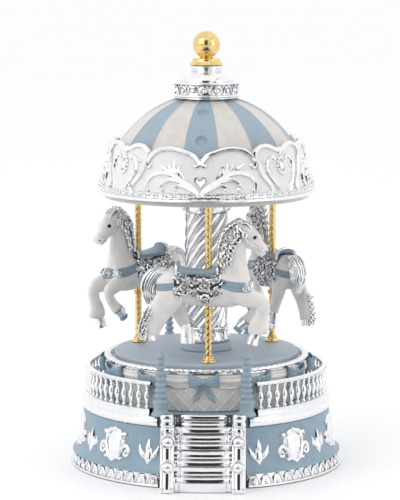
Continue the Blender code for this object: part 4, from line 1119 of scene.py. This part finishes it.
def panel(shape, phi, share):
    """One pair of lobes with the fan of scrolls and leaves that grows from the rim between them."""
    for sign in (-1, 1):

        def path(points):
            return [(phi + sign * share * p, z, w * 1.35) for p, z, w in points]

        lobe = [(p, z, 0.85) for p, z in LOBE] + [(31.2, 134.6, 0.7), (29.6, 134.2, 0.5)]
        curl = [(2.6, 134.9, 0.5), (1.2, 135.5, 0.6), (1.0, 136.8, 0.75)]
        relief(shape, valance_r, path(curl + lobe[1:]), 1.25, 5)
        relief_ball(shape, valance_r, phi + sign * share * 29.4, 135.1, 1.0, 1.0)
        relief_ball(shape, valance_r, phi + sign * share * 2.6, 135.2, 0.95, 1.0)
        main = [(0.4, 122.8, 0.9), (2.6, 125.0, 0.95), (5.6, 127.1, 0.9), (10.4, 129.3, 0.85), (14.8, 131.2, 0.8)]
        main += [(19.0, 132.2, 0.85), (23.6, 132.1, 0.9), (28.2, 130.6, 0.8), (30.8, 127.6, 0.7), (30.4, 125.0, 0.6)]
        relief(shape, valance_r, path(main), 1.1, 5)
        relief_ball(shape, valance_r, phi + sign * share * 29.0, 124.9, 1.0, 1.0)
        second = [(0.8, 122.9, 0.8), (4.4, 125.7, 0.85), (9.0, 128.1, 0.85), (13.6, 129.5, 0.9), (17.4, 129.5, 0.85)]
        second += [(20.8, 128.0, 0.7), (21.9, 126.0, 0.55)]
        relief(shape, valance_r, path(second), 1.1, 5)
        relief_ball(shape, valance_r, phi + sign * share * 20.6, 125.3, 1.05, 1.0)
        third = [(0.6, 122.7, 0.7), (3.6, 124.9, 0.75), (7.4, 126.6, 0.75), (11.0, 127.2, 0.7), (13.8, 126.4, 0.55)]
        relief(shape, valance_r, path(third), 1.1, 5)
        relief_ball(shape, valance_r, phi + sign * share * 13.4, 125.4, 0.8, 1.0)
        for tip in ((25.6, 136.3), (19.0, 136.0), (15.2, 137.1), (10.6, 136.6)):
            middle = ((12.8 + tip[0]) / 2 + 0.8, (130.4 + tip[1]) / 2 + 0.5)
            leaf = [(12.8, 130.2, 0.5), (middle[0], middle[1], 0.72), (tip[0], tip[1], 0.05)]
            relief(shape, valance_r, path(leaf), 0.9, 6, 6)
        relief(shape, valance_r, path([(8.4, 128.6, 0.5), (9.6, 131.0, 0.6), (12.4, 133.4, 0.5)]), 0.9, 5, 6)
    heart(shape, phi, 128.7)


def shield(shape, phi):
    """The narrow panel between lobes, with a gem, a beaded oval flower and a vase of S-scrolls."""
    for sign in (-1, 1):

        def path(points):
            return [(phi + sign * p, z, w * 1.4) for p, z, w in points]

        top = [(p, z, 0.75) for p, z in SHIELD_TOP]
        edge = [(11.2, 122.6, 0.7), (9.6, 124.6, 0.75), (10.8, 127.0, 0.75), (13.8, 129.8, 0.8), (15.8, 132.6, 0.8)]
        edge += [(17.6, 136.0, 0.8)]
        relief(shape, valance_r, path(edge + top), 1.25, 5)
        inner = [(4.6, 123.0, 0.5), (5.6, 126.0, 0.6), (8.6, 129.2, 0.65), (11.0, 132.6, 0.65), (10.2, 136.2, 0.6)]
        inner += [(6.6, 138.2, 0.55), (4.2, 137.0, 0.45)]
        relief(shape, valance_r, path(inner), 1.1, 5)
        relief_ball(shape, valance_r, phi + sign * 4.8, 137.2, 0.8)
        relief_ball(shape, valance_r, phi + sign * 8.2, 133.6, 0.7)
        relief_ball(shape, valance_r, phi + sign * 13.0, 136.4, 0.85)
        relief_ball(shape, valance_r, phi + sign * 7.4, 126.2, 0.7)
    relief_ball(shape, valance_r, phi, 140.0, 1.2, 0.9)
    for k in range(12):
        angle = math.tau * k / 12
        relief_ball(shape, valance_r, phi + 2.9 * math.sin(angle), 134.2 + 3.4 * math.cos(angle), 0.85, 0.9)
    relief_ball(shape, valance_r, phi, 134.2, 2.0, 0.6)


def valance_trim():
    shape = Shape()
    for phi, share in ((0, 1.0), (90, SIDE_SHARE), (180, 1.0), (270, SIDE_SHARE)):
        panel(shape, PATTERN_PHI + phi, share)
    for phi in (SHIELD_PHI, 180 - SHIELD_PHI, 180 + SHIELD_PHI, -SHIELD_PHI):
        shield(shape, PATTERN_PHI + phi)
    shape.make("valance_scrolls", PAINT["silver"], "carousel", slot="silver_plate")
    rim = Shape()
    z = VALANCE_LOW
    line = smooth([(46.2, z + 0.1), (47.4, z), (VALANCE_R, z + 0.5), (VALANCE_R - 0.1, z + 1.2), (47.6, z + 1.7),
                   (47.3, z + 2.0), (47.2, z + 3.6), (47.45, z + 3.9), (46.9, z + 4.2)], 4)
    rim.turn(line.tolist() + [(45.9, z + 4.2), (46.2, z + 0.1)], 240)

    def rim_r(height):
        return 47.25

    pairs = 72
    for i in range(pairs):
        phi = i * 360 / pairs
        relief_ball(rim, rim_r, phi, z + 2.8, 0.62, 0.9)
        relief(rim, rim_r, [(phi + 1.1, z + 2.8, 0.3), (phi + 1.6, z + 2.8, 0.58), (phi + 3.4, z + 2.8, 0.58),
                            (phi + 3.9, z + 2.8, 0.3)], 1.0, 2, 6)
    rim.make("valance_rim", PAINT["silver"], "carousel", slot="silver_plate")


def ceiling():
    shape = Shape()
    z = CEILING_Z
    profile = [(1.7, z), (14.0, z), (44.9, z), (44.9, z + 2), (1.7, z + 2), (1.7, z)]
    shape.turn(profile, 128)
    shape.make("ceiling_paint", PAINT["cream"], "carousel", ("canopy_ceiling",), "drum_cream")


def cap():
    """The silver cap: a round arcade with a jewel in each arch, a low dome and a collar."""
    shape = Shape()
    line = [(9.0, 162.4), (13.9, 161.2), (14.2, 161.5), (14.75, 162.0), (14.7, 162.6), (14.2, 162.9), (13.6, 163.0)]
    line += [(13.6, 167.0), (14.2, 167.1), (14.75, 167.5), (14.6, 168.0), (13.6, 168.3), (12.2, 168.3)]
    lower = smooth(line, 3)
    bell = smooth([(12.2, 168.4), (12.0, 169.2), (11.1, 170.6), (9.6, 171.7), (7.8, 172.3), (6.8, 172.6), (6.7, 173.0),
                   (7.3, 174.0), (7.6, 174.8), (7.2, CAP_TOP)], 4)
    shape.turn(lower.tolist() + bell.tolist() + [(1.7, CAP_TOP), (1.7, 162.4), (9.0, 162.4)], 128)

    def ring_wall(z):
        return 13.7

    arches = 16
    for i in range(arches):
        phi = PATTERN_PHI + i * 360 / arches
        loop = []
        for t in np.linspace(-0.42, math.pi + 0.42, 11):
            loop.append((phi + 8.4 * math.cos(t), 164.6 + 1.9 * math.sin(t), 0.42))
        relief(shape, ring_wall, loop, 1.5, 2, 7)
        relief_ball(shape, ring_wall, phi, 164.6, 1.1, 0.6)
        relief_ball(shape, ring_wall, phi + 180 / arches, 163.6, 0.6, 1.1)
        relief_ball(shape, ring_wall, phi + 180 / arches, 166.4, 0.5, 1.1)
    shape.make("cap_plate", PAINT["silver"], "carousel", ("canopy_cap",), "silver_plate")


def finial():
    shape = Shape()
    base = FINIAL_LOW
    line = [(1.7, base), (6.9, base), (7.1, base + 0.3), (6.7, base + 0.9), (6.2, base + 1.6), (5.95, base + 2.4)]
    line = smooth(line, 3).tolist() + [(5.8, base + 2.7), (3.0, base + 2.8), (2.7, base + 3.1)]
    radius = 6.0
    centre = FINIAL_HIGH - radius
    start = math.asin((base + 3.3 - centre) / radius)
    for t in np.linspace(start, math.pi / 2, 40):
        line.append((max(radius * math.cos(t), 0.01), centre + radius * math.sin(t)))
    shape.turn(line, 96)
    shape.make("finial_plate", PAINT["gold"], "carousel", ("finial",), "gold_plate", 50)


dome()
valance()
valance_trim()
ceiling()
cap()
finial()

# ---- Horses ----

# Each list runs along one part of a horse: x, y, z, half depth, half width. The pole stands at x = 0, the horse
# faces +x, and its near side, away from the column, is -y.
BARREL = [(-22.2, 0, 83.0, 3.2, 3.0), (-20.0, 0, 83.4, 5.8, 4.8), (-15.0, 0, 83.2, 7.8, 6.0), (-7.0, 0, 82.0, 7.3, 5.8),
          (1.0, 0, 81.4, 7.4, 5.8), (8.0, 0, 82.0, 8.4, 5.8), (13.4, 0, 83.2, 7.4, 5.2), (17.0, 0, 84.0, 4.4, 3.8)]
NECK = [(10.8, 0, 84.5, 7.4, 4.6), (10.4, 0, 91.0, 6.5, 4.0), (10.3, 0, 96.0, 5.9, 3.5), (10.9, 0, 101.0, 5.1, 3.1),
        (12.2, 0, 105.4, 4.2, 2.8), (13.2, 0, 108.4, 2.9, 2.3)]
HEAD = [(12.6, 0, 107.6, 2.8, 2.5), (15.4, 0, 105.6, 4.5, 3.4), (18.6, 0, 102.8, 4.3, 3.2), (21.0, 0, 100.2, 3.2, 2.6),
        (23.0, 0, 98.2, 3.0, 2.6), (24.3, 0, 96.9, 2.1, 2.1)]
FORE_NEAR = [(11.0, -2.8, 81.4, 5.6, 2.8), (16.5, -3.6, 78.4, 4.3, 2.5), (21.2, -4.0, 77.0, 3.7, 2.3),
             (23.0, -4.1, 74.6, 3.2, 2.1), (22.6, -4.1, 71.0, 2.9, 1.9), (21.5, -4.1, 67.6, 3.8, 2.1),
             (21.1, -4.1, 64.6, 4.5, 2.4), (21.1, -4.1, 62.6, 4.0, 2.3)]
FORE_FAR = [(10.4, 2.8, 81.0, 5.0, 2.7), (16.0, 3.7, 77.8, 3.6, 2.4), (20.8, 4.0, 75.6, 2.8, 2.1),
            (20.6, 4.1, 72.4, 2.3, 1.8), (18.4, 4.1, 69.2, 2.4, 1.9), (16.4, 4.1, 66.8, 2.8, 2.1)]
HIND_NEAR = [(-14.6, -3.0, 83.0, 6.4, 2.9), (-17.4, -3.8, 77.6, 5.8, 2.7), (-20.8, -4.1, 73.0, 5.2, 2.4),
             (-23.2, -4.1, 69.0, 4.8, 2.2), (-24.8, -4.1, 65.4, 4.5, 2.3), (-25.2, -4.1, 62.8, 4.2, 2.3)]
HIND_FAR = [(-12.6, 3.0, 82.0, 6.2, 2.8), (-13.8, 3.8, 75.8, 4.9, 2.5), (-12.6, 4.1, 71.4, 3.5, 2.2),
            (-10.8, 4.1, 67.8, 3.0, 2.1), (-9.6, 4.1, 65.2, 2.8, 2.1)]
EARS = [(13.0, 1.5, 109.4, 1.1, 0.8), (12.7, 1.9, 111.0, 0.8, 0.55), (12.6, 2.1, 112.0, 0.2, 0.15)]
HOOVES = {
    "silver": [[(20.2, -4.1, 63.2, 2.3, 2.2), (19.2, -4.1, 61.0, 2.3, 2.2), (18.4, -4.1, 58.4, 2.6, 2.4)],
               [(16.2, 4.1, 66.6, 2.3, 2.1), (14.4, 4.1, 65.2, 2.2, 2.0), (13.4, 4.1, 64.2, 2.1, 2.0)],
               [(-25.5, -4.1, 63.2, 3.3, 2.3), (-25.9, -4.1, 61.6, 3.6, 2.4), (-26.0, -4.1, 60.6, 3.7, 2.5)],
               [(-9.8, 4.1, 66.0, 2.6, 2.1), (-9.2, 4.1, 62.6, 2.9, 2.3), (-8.8, 4.1, 59.8, 3.0, 2.4),
                (-8.8, 4.1, 57.6, 3.2, 2.5)]],
    "blue": [[(13.8, 4.1, 64.4, 1.9, 1.7), (12.2, 4.1, 62.6, 2.1, 1.8)]],
}
TAIL_OUTER = [(-16.8, 90.0), (-20.0, 91.0), (-23.6, 90.4), (-26.6, 88.0), (-28.4, 84.2), (-28.4, 79.8), (-26.4, 75.4)]
TAIL_INNER = [(-17.4, 88.4), (-20.2, 87.8), (-22.0, 85.6), (-22.8, 82.4), (-22.6, 79.4), (-21.4, 77.0), (-22.4, 74.8)]
CREST = [(13.6, 110.6), (10.4, 109.2), (7.6, 106.8), (5.8, 103.0), (4.7, 98.6), (4.1, 94.2), (4.6, 90.4), (5.6, 87.6)]


def loft(shape, stations, sides=20, per_span=5, slot=0):
    """A closed limb through stations of (x, y, z, half depth, half width)."""
    samples = smooth(stations, per_span)
    centres = samples[:, :3]
    tangents = np.gradient(centres, axis=0)
    rings = []
    for centre, way, (depth, width) in zip(centres, tangents, samples[:, 3:]):
        way = unit(way)
        across = np.array((0.0, 1.0, 0.0))
        across = unit(across - way * way.dot(across))
        up = np.cross(way, across)
        angles = np.arange(sides) * math.tau / sides
        rings.append(centre + np.outer(np.cos(angles), up) * depth + np.outer(np.sin(angles), across) * width)
    shape.grid(rings, caps=True, slot=slot)


def mirrored(stations):
    return [(x, -y, z, a, b) for x, y, z, a, b in stations]


def blended(name, lists, voxel, rounds):
    """Melts overlapping lofts into one smooth skin; returns it as a mesh in metres."""
    shape = Shape()
    for stations in lists:
        loft(shape, stations)
    mesh = bpy.data.meshes.new(name)
    mesh.from_pydata((np.concatenate(shape.points) * MM).tolist(), [], shape.faces)
    thing = bpy.data.objects.new(name, mesh)
    bpy.context.collection.objects.link(thing)
    melt = thing.modifiers.new("melt", "REMESH")
    melt.mode = "VOXEL"
    melt.voxel_size = voxel * MM
    relax = thing.modifiers.new("relax", "SMOOTH")
    relax.factor = 0.5
    relax.iterations = rounds
    depsgraph = bpy.context.evaluated_depsgraph_get()
    melted = bpy.data.meshes.new_from_object(thing.evaluated_get(depsgraph))
    bpy.data.objects.remove(thing, do_unlink=True)
    melted.name = name
    return melted


class Hide:
    """Finds points on the horse's skin, in millimetres, to lay tack and ornament on."""

    def __init__(self, mesh):
        points = [v.co / MM for v in mesh.vertices]
        self.tree = BVHTree.FromPolygons(points, [tuple(p.vertices) for p in mesh.polygons])

    def side(self, x, z, sign, lift=0.0):
        """The skin straight in from one side at (x, z)."""
        hit, normal, _, _ = self.tree.ray_cast(Vector((x, sign * 20, z)), Vector((0, -sign, 0)))
        if hit is None:
            hit, normal, _, _ = self.tree.find_nearest(Vector((x, sign * 4, z)))
        normal = np.array(normal)
        return np.array(hit) + normal * lift, normal

    def around(self, centre, direction, lift=0.0):
        """The skin met coming in towards centre from the given direction."""
        way = Vector(direction).normalized()
        hit, normal, _, _ = self.tree.ray_cast(Vector(centre) + way * 25, -way)
        if hit is None:
            hit, normal, _, _ = self.tree.find_nearest(Vector(centre) + way * 5)
        normal = np.array(normal)
        return np.array(hit) + normal * lift, normal


def strap(shape, hide, centre, start, end, height, steps=26):
    """A broad ribbon with two pressed lines, round the chest or the rump at (x, 0, z)."""
    rings = []
    for i in range(steps + 1):
        share = i / steps
        angle = math.radians(start + (end - start) * share)
        fall = math.cos(math.pi * (share - 0.5)) * centre[3]
        row = []
        for v in np.linspace(-1, 1, 13):
            z = centre[2] - fall + v * height * (0.82 + 0.18 * math.sin(math.pi * share))
            lift = 0.42 + 0.16 * math.cos(v * math.pi * 3) - 0.5 * abs(v) ** 6
            point, _ = hide.around((centre[0], 0, z), (math.cos(angle), math.sin(angle), 0), lift)
            row.append(point)
        rings.append(row)
    for _ in range(2):
        grid = np.array(rings)
        grid[1:-1] = 0.25 * grid[:-2] + 0.5 * grid[1:-1] + 0.25 * grid[2:]
        rings = grid
    shape.grid(rings, around=False)


def rose(shape, centre, normal, radius):
    """A rose of three rings of cupped petals round a spiral heart."""
    normal = unit(np.asarray(normal, float))
    side = unit(np.cross(normal, (0.13, 0.31, 0.94)))
    other = np.cross(normal, side)
    spiral = []
    for i in range(15):
        angle, r = 0.75 * i, radius * (0.05 + 0.021 * i)
        spiral.append(centre + (side * math.cos(angle) + other * math.sin(angle)) * r + normal * radius * (0.62 - 0.02 * i))
    shape.tube(spiral, radius * 0.085, 6)
    for count, spread, lift, size, start in ((4, 0.45, 0.34, 0.42, 0.3), (6, 0.82, 0.12, 0.44, 0.8)):
        for k in range(count):
            angle = start + math.tau * k / count
            out = side * math.cos(angle) + other * math.sin(angle)
            edge = np.cross(normal, out)
            rings = []
            for u in np.linspace(-1, 1, 7):
                row = []
                for v in np.linspace(0, 1, 5):
                    span = size * radius * 1.5 * u * (0.5 + 0.5 * v)
                    reach_out = radius * (spread * 0.45 + spread * 0.6 * v - 0.16 * u * u * v)
                    rise = radius * (lift + 0.3 * math.sin(math.pi * v) + 0.10 * u * u)
                    row.append(centre + out * reach_out + edge * span + normal * rise)
                rings.append(row)
            shape.grid(rings, around=False)
    shape.ball(centre + normal * radius * 0.15, radius * 0.5, 0.9, normal, 10)


def leaf(shape, centre, normal, way, length):
    """A small pointed leaf lying on the skin, with a raised midrib."""
    normal, way = unit(normal), unit(np.asarray(way, float))
    way = unit(way - normal * way.dot(normal))
    path = [centre - way * length * 0.5, centre, centre + way * length * 0.5]
    path = smooth(path, 3)
    radii = [0.05, 0.3, 0.42, 0.45, 0.36, 0.2, 0.04]
    shape.tube(path, np.array(radii) * length * 0.42, 6, normals=[normal] * len(path), rise=0.7)


def curl(shape, start, normal, way, length, turn, radius):
    """A lock that runs out along the skin and curls over at its end."""
    normal, way = unit(normal), unit(np.asarray(way, float))
    way = unit(way - normal * way.dot(normal))
    side = np.cross(normal, way) * turn
    points = [start, start + way * length * 0.35 + side * length * 0.10 + normal * 0.3]
    hub = start + way * length * 0.72 + side * length * 0.30
    r = length * 0.30
    for i in range(8):
        angle = -1.3 + 0.72 * i
        grow = r * (1 - 0.085 * i)
        points.append(hub - side * math.cos(angle) * grow + way * math.sin(angle) * grow + normal * (0.35 + 0.05 * i))
    path = smooth(points, 2)
    shape.tube(path, np.linspace(radius, radius * 0.45, len(path)), 6)


def mane(shape, hide):
    """Rows of curling locks down both sides of the neck, and a forelock between the ears."""
    crest = smooth([(x, 0, z) for x, z in CREST], 5)
    count = len(crest)
    for sign in (-1, 1):
        for row, (reach_out, length) in enumerate(((0.2, 4.6), (2.2, 4.0))):
            for i in range(4 + row, count - 2, 2):
                x, _, z = crest[min(i, count - 1)]
                if z < 96.5:
                    continue
                spot, normal = hide.side(x + 0.8 + reach_out, z - 0.5 - 0.35 * reach_out, sign, 0.2)
                way = (0.35 + 0.35 * math.sin(i * 1.7 + row), 0, -1)
                curl(shape, spot, normal, way, length * 1.15, sign * (1 if (i + row) % 4 < 2 else -1), 0.85)
    for i in range(2, count, 1):
        x, _, z = crest[i]
        wave = 0.7 * math.sin(i * 1.9)
        full = min(max((z - 93.0) / 8.0, 0.45), 1.0)
        shape.ball((x - 0.3 * full, wave * full, z + 0.2), 1.65 * full, 0.8, (-1, 0.2 * wave, 0.6), 10)
    for k in range(7):
        y = -1.8 + 0.6 * k
        lock = [(12.6, y * 0.6, 110.6), (14.6, y, 110.9), (16.8, y * 1.15, 109.6 - 0.2 * (k % 3)),
                (18.2 + 0.3 * (k % 2), y * 1.2, 107.9), (17.6, y * 1.3, 106.9)]
        shape.tube(smooth(lock, 4), np.linspace(0.62, 0.3, 17), 6)
        shape.ball((13.4 - 0.5 * (k % 3), y * 1.05, 111.1), 1.15, 0.9, (0, 0, 1), 8)


def tail(shape):
    """Wavy strands that arch off the rump and gather again above the hock."""
    outer, inner = smooth(TAIL_OUTER, 5), smooth(TAIL_INNER, 5)
    count = len(outer)
    for layer, lateral in ((0, -1.9), (1, -0.65), (2, 0.65), (3, 1.9)):
        strands = 6
        for k in range(strands):
            share = (k + 0.3 + 0.25 * (layer % 2)) / strands
            points = []
            for i in range(count):
                t = i / (count - 1)
                x, z = outer[i] * (1 - share) + inner[i] * share
                swell = math.sin(math.pi * min(t * 1.1 + 0.08, 1)) ** 0.6
                y = lateral * (0.35 + 0.75 * swell) + 0.35 * math.sin(6.5 * t + k)
                points.append((x + 0.22 * math.sin(9 * t + 1.3 * k), y, z))
            widths = [0.5 + 0.42 * math.sin(math.pi * min(i / (count - 1) * 1.05, 1)) for i in range(count)]
            shape.tube(points, widths, 7)


def saddlecloth(shape, hide):
    """Filigree over both flanks: a scalloped cloth edge, roses, leaves and curls, packed close."""
    for sign in (-1, 1):
        columns = np.linspace(-14.8, 5.4, 41)
        rings = []
        for x in columns:
            low_z = 79.4 - 4.6 * math.exp(-((x + 1.6) / 3.2) ** 2) + 0.45 * math.cos(x * 2.2)
            high_z = 89.6
            row = []
            for v in np.linspace(0, 1, 17):
                z = low_z + (high_z - low_z) * v
                lift = 0.3 + 0.08 * math.sin(x * 1.9 + v * 7) * math.sin(v * 11 + x) - 0.4 * (v < 0.03)
                row.append(hide.side(x, z, sign, lift)[0])
            rings.append(row)
        shape.grid(rings, around=False)
        for x, z, radius in ((-1.6, 83.7, 2.5), (-1.6, 78.4, 2.9), (-10.6, 83.4, 2.3), (-6.4, 80.8, 1.9), (3.2, 81.2, 2.1),
                             (-13.0, 87.0, 1.6), (3.4, 86.2, 1.9), (-6.2, 86.2, 1.7)):
            spot, normal = hide.side(x, z, sign, 0.4)
            rose(shape, spot, normal, radius)
        for i in range(44):
            share = (i * 0.6180339887) % 1.0
            x = -14.4 + 19.4 * share
            low_z = 79.6 - 4.2 * math.exp(-((x + 1.6) / 3.0) ** 2)
            z = low_z + (89.2 - low_z) * ((i + 0.5) / 44)
            spot, normal = hide.side(x, z, sign, 0.5)
            angle = i * 2.4
            way = (math.cos(angle), 0, math.sin(angle))
            if i % 3 == 0:
                curl(shape, spot, normal, way, 2.8, 1 if i % 2 else -1, 0.45)
            elif i % 3 == 1:
                leaf(shape, spot, normal, way, 3.2)
            else:
                shape.ball(spot, 0.8, 0.8, normal, 8)


def saddle(seat, fringe, hide):
    """A dished seat with a high cantle and a low pommel, and a beaded fringe below it."""
    line = smooth([(-13.6, 93.6), (-12.4, 92.2), (-9.4, 91.2), (-4.8, 90.5), (-0.6, 90.5), (2.2, 91.2), (3.4, 92.2)], 4)
    rings = []
    for i, (x, top) in enumerate(line):
        share = i / (len(line) - 1)
        half = 5.5 - 1.4 * abs(2 * share - 1) ** 2
        row = []
        for k in range(25):
            angle = math.pi * k / 24
            y = half * math.cos(angle)
            z = 89.2 + (top - 89.4) * math.sin(angle) ** 0.55
            inward, _ = hide.side(x, min(z, 89.6), 1 if y > 0 else -1, 0.55)
            if abs(y) < abs(inward[1]) and z < 89.8:
                y = inward[1]
            row.append((x, y, z))
        row += [(x, y * 0.9, z - 0.7) for x, y, z in row[::-1]]
        rings.append(row)
    seat.grid(rings, caps=True)
    for sign in (-1, 1):
        for i in range(len(line)):
            x = line[i][0]
            spot, normal = hide.side(x, 88.9, sign, 0.9)
            fringe.ball(spot, 0.55, 1.0, normal, 8)
            tassel = [spot, spot + (0, 0, -0.9) + normal * 0.1, spot + (0.1, 0, -1.7)]
            fringe.tube(tassel, [0.4, 0.34, 0.12], 6)
    arch = [(line[0][0] - 0.3, 5.0 * math.cos(a), 88.6 + 5.2 * math.sin(a) ** 0.6) for a in np.linspace(0, math.pi, 21)]
    fringe.tube(arch, 0.55, 8)
    arch = [(line[-1][0] + 0.3, 4.4 * math.cos(a), 88.6 + 3.7 * math.sin(a) ** 0.6) for a in np.linspace(0, math.pi, 21)]
    fringe.tube(arch, 0.5, 8)


def bridle(shape, hide):
    for sign in (-1, 1):
        for path in ([(23.2, 98.2), (21.0, 99.6), (18.4, 101.2), (16.0, 103.2), (14.0, 106.0), (13.2, 108.4)],
                     [(23.4, 99.6), (22.2, 98.6), (21.2, 97.6)], [(18.0, 107.0), (16.2, 106.6), (14.2, 106.2)]):
            samples = smooth([(x, 0, z) for x, z in path], 4)
            points = [hide.side(x, z, sign, 0.22)[0] for x, _, z in samples]
            shape.tube(points, 0.3, 6)
        for x, z, radius in ((18.1, 101.3, 0.6), (23.0, 98.6, 0.6), (14.2, 106.0, 0.7)):
            spot, normal = hide.side(x, z, sign, 0.3)
            shape.ball(spot, radius, 0.7, normal, 10)


def feathers(shape, hide):
    """Silver curls behind each fetlock."""
    tufts = [(-1, -27.6, 75.0, 63.4, -1.0, 12), (1, 14.0, 69.0, 65.0, -1.0, 4), (1, -7.6, 67.4, 62.6, 1.0, 4)]
    for sign, x, high_z, low_z, lean, count in tufts:
        for k in range(count):
            share = k / max(count - 1, 1)
            z = high_z + (low_z - high_z) * share
            shift = lean * (0.4 + 0.9 * math.sin(k * 2.1))
            spot, normal = hide.side(x + shift + (3.2 * (1 - share) if x < -20 else 0), z, sign, 0.1)
            curl(shape, spot, normal, (0.4 * lean, 0, -1), 2.9, sign * (1 if k % 2 else -1), 0.52)
            spot, normal = hide.around((x + 5 if x < -20 else x, sign * 4.1, z), (-1 if x < -20 else lean, 0, 0), 0.1)
            curl(shape, spot, normal, (0.1, 0.5 * sign, -1), 2.7, 1 if k % 2 else -1, 0.5)


def eyes(eye, lids, hide):
    for sign in (-1, 1):
        spot, normal = hide.side(19.6, 104.2, sign, -0.25)
        eye.ball(spot, 0.95, 0.75, normal, 14)
        nostril, normal = hide.side(24.6, 98.0, sign, -0.1)
        eye.ball(nostril, 0.42, 0.6, normal, 10)
        for path, radius in (([(18.4, 103.9), (18.9, 104.9), (19.8, 105.2), (20.7, 104.7), (21.0, 103.9)], 0.34),
                             ([(18.6, 103.7), (19.5, 103.2), (20.5, 103.3)], 0.22)):
            samples = smooth([(x, 0, z) for x, z in path], 4)
            lids.tube([hide.side(x, z, sign, 0.1)[0] for x, _, z in samples], radius, 8)
    mouth = [(24.9, -1.55, 96.6), (25.6, -0.9, 96.9), (25.9, 0, 97.0), (25.6, 0.9, 96.9), (24.9, 1.55, 96.6)]
    eye.tube(smooth([hide.around((23.4, 0, 96.8), (x - 23.4, y, z - 96.8), -0.05)[0] for x, y, z in mouth], 3), 0.14, 5)


def chest_flower(shape, hide):
    for sign in (-1, 1):
        spot, normal = hide.side(15.6, 82.4, sign, 0.5)
        rose(shape, spot, normal, 1.7)
    spot, normal = hide.around((10, 0, 82.6), (1, 0, 0), 0.4)
    rose(shape, spot, normal, 1.9)


def horses():
    body = blended("horse_body", [BARREL, NECK, HEAD, FORE_NEAR, FORE_FAR, HIND_NEAR, HIND_FAR, EARS, mirrored(EARS)], 0.42, 7)
    hide = Hide(body)
    silver, cloth, blue, eye, lids = Shape(), Shape(), Shape(), Shape(), Shape()
    mane(cloth, hide)
    tail(cloth)
    for stations in HOOVES["silver"]:
        loft(silver, stations, 18, 4)
    for stations in HOOVES["blue"]:
        loft(blue, stations, 18, 4)
    saddlecloth(cloth, hide)
    saddle(blue, silver, hide)
    strap(blue, hide, (6.0, 0, 84.9, 2.2), -97, 97, 2.5)
    strap(blue, hide, (-14.0, 0, 83.9, 1.0), 97, 263, 1.9)
    bridle(silver, hide)
    feathers(cloth, hide)
    eyes(eye, lids, hide)
    chest_flower(silver, hide)
    for sign in (-1, 1):
        spot, normal = hide.side(9.6, 104.0, sign, 1.0)
        rose(silver, spot, normal, 2.9)
    for i, (name, yaw) in enumerate((("front", 0.0), ("right", -6.0), ("left", -18.0))):
        turn = Matrix.Rotation(math.radians(POLE_PHI + 120 * i), 4, "Z")
        facing = Matrix.Rotation(math.radians(yaw), 4, "Z")
        place = turn @ Matrix.Translation((0, -POLE_CIRCLE_R, 0)) @ facing
        for part, shape, paint in (("silver", silver, "silver"), ("carved", cloth, "carved"), ("tack", blue, "blue"),
                                   ("eyes", eye, "eye"), ("lids", lids, "horse")):
            copy = Shape()
            copy.merge(shape, place)
            copy.make(f"horse_{name}_{part}", PAINT[paint], "carousel", slot="horse_paint", crease=60)
        mesh = body.copy()
        metric = turn @ Matrix.Translation((0, -POLE_CIRCLE_R * MM, 0)) @ facing
        mesh.transform(metric)
        mesh.materials.clear()
        mesh.materials.append(PAINT["horse"])
        mesh.shade_smooth()
        thing = bpy.data.objects.new(f"horse_{name}_body", mesh)
        bpy.context.collection.objects.link(thing)
        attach(thing, "carousel")
        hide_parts(f"horse_{name}")


horses()

# ---- Movement: the frame's own nodes, with their finishes ----


def carried(names, paint):
    for name in names:
        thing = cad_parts[name]
        thing.data.materials.clear()
        thing.data.materials.append(PAINT[paint])


carried(("bottom_cover",), "black")
carried([f"cover_screw_{i}" for i in (1, 2, 3)] + ["movement_screw_1", "movement_screw_2", "comb_screw_1",
        "comb_screw_2", "movement_bedplate", "mainspring", "comb", "drive_shaft", "winding_key", "centre_rod"], "steel")
carried(("spring_barrel", "comb_block", "cylinder_bearing_inner", "cylinder_bearing_outer", "governor_seat",
         "great_wheel", "turntable_hub", "music_cylinder", "governor_wheel", "governor_fly"), "brass")
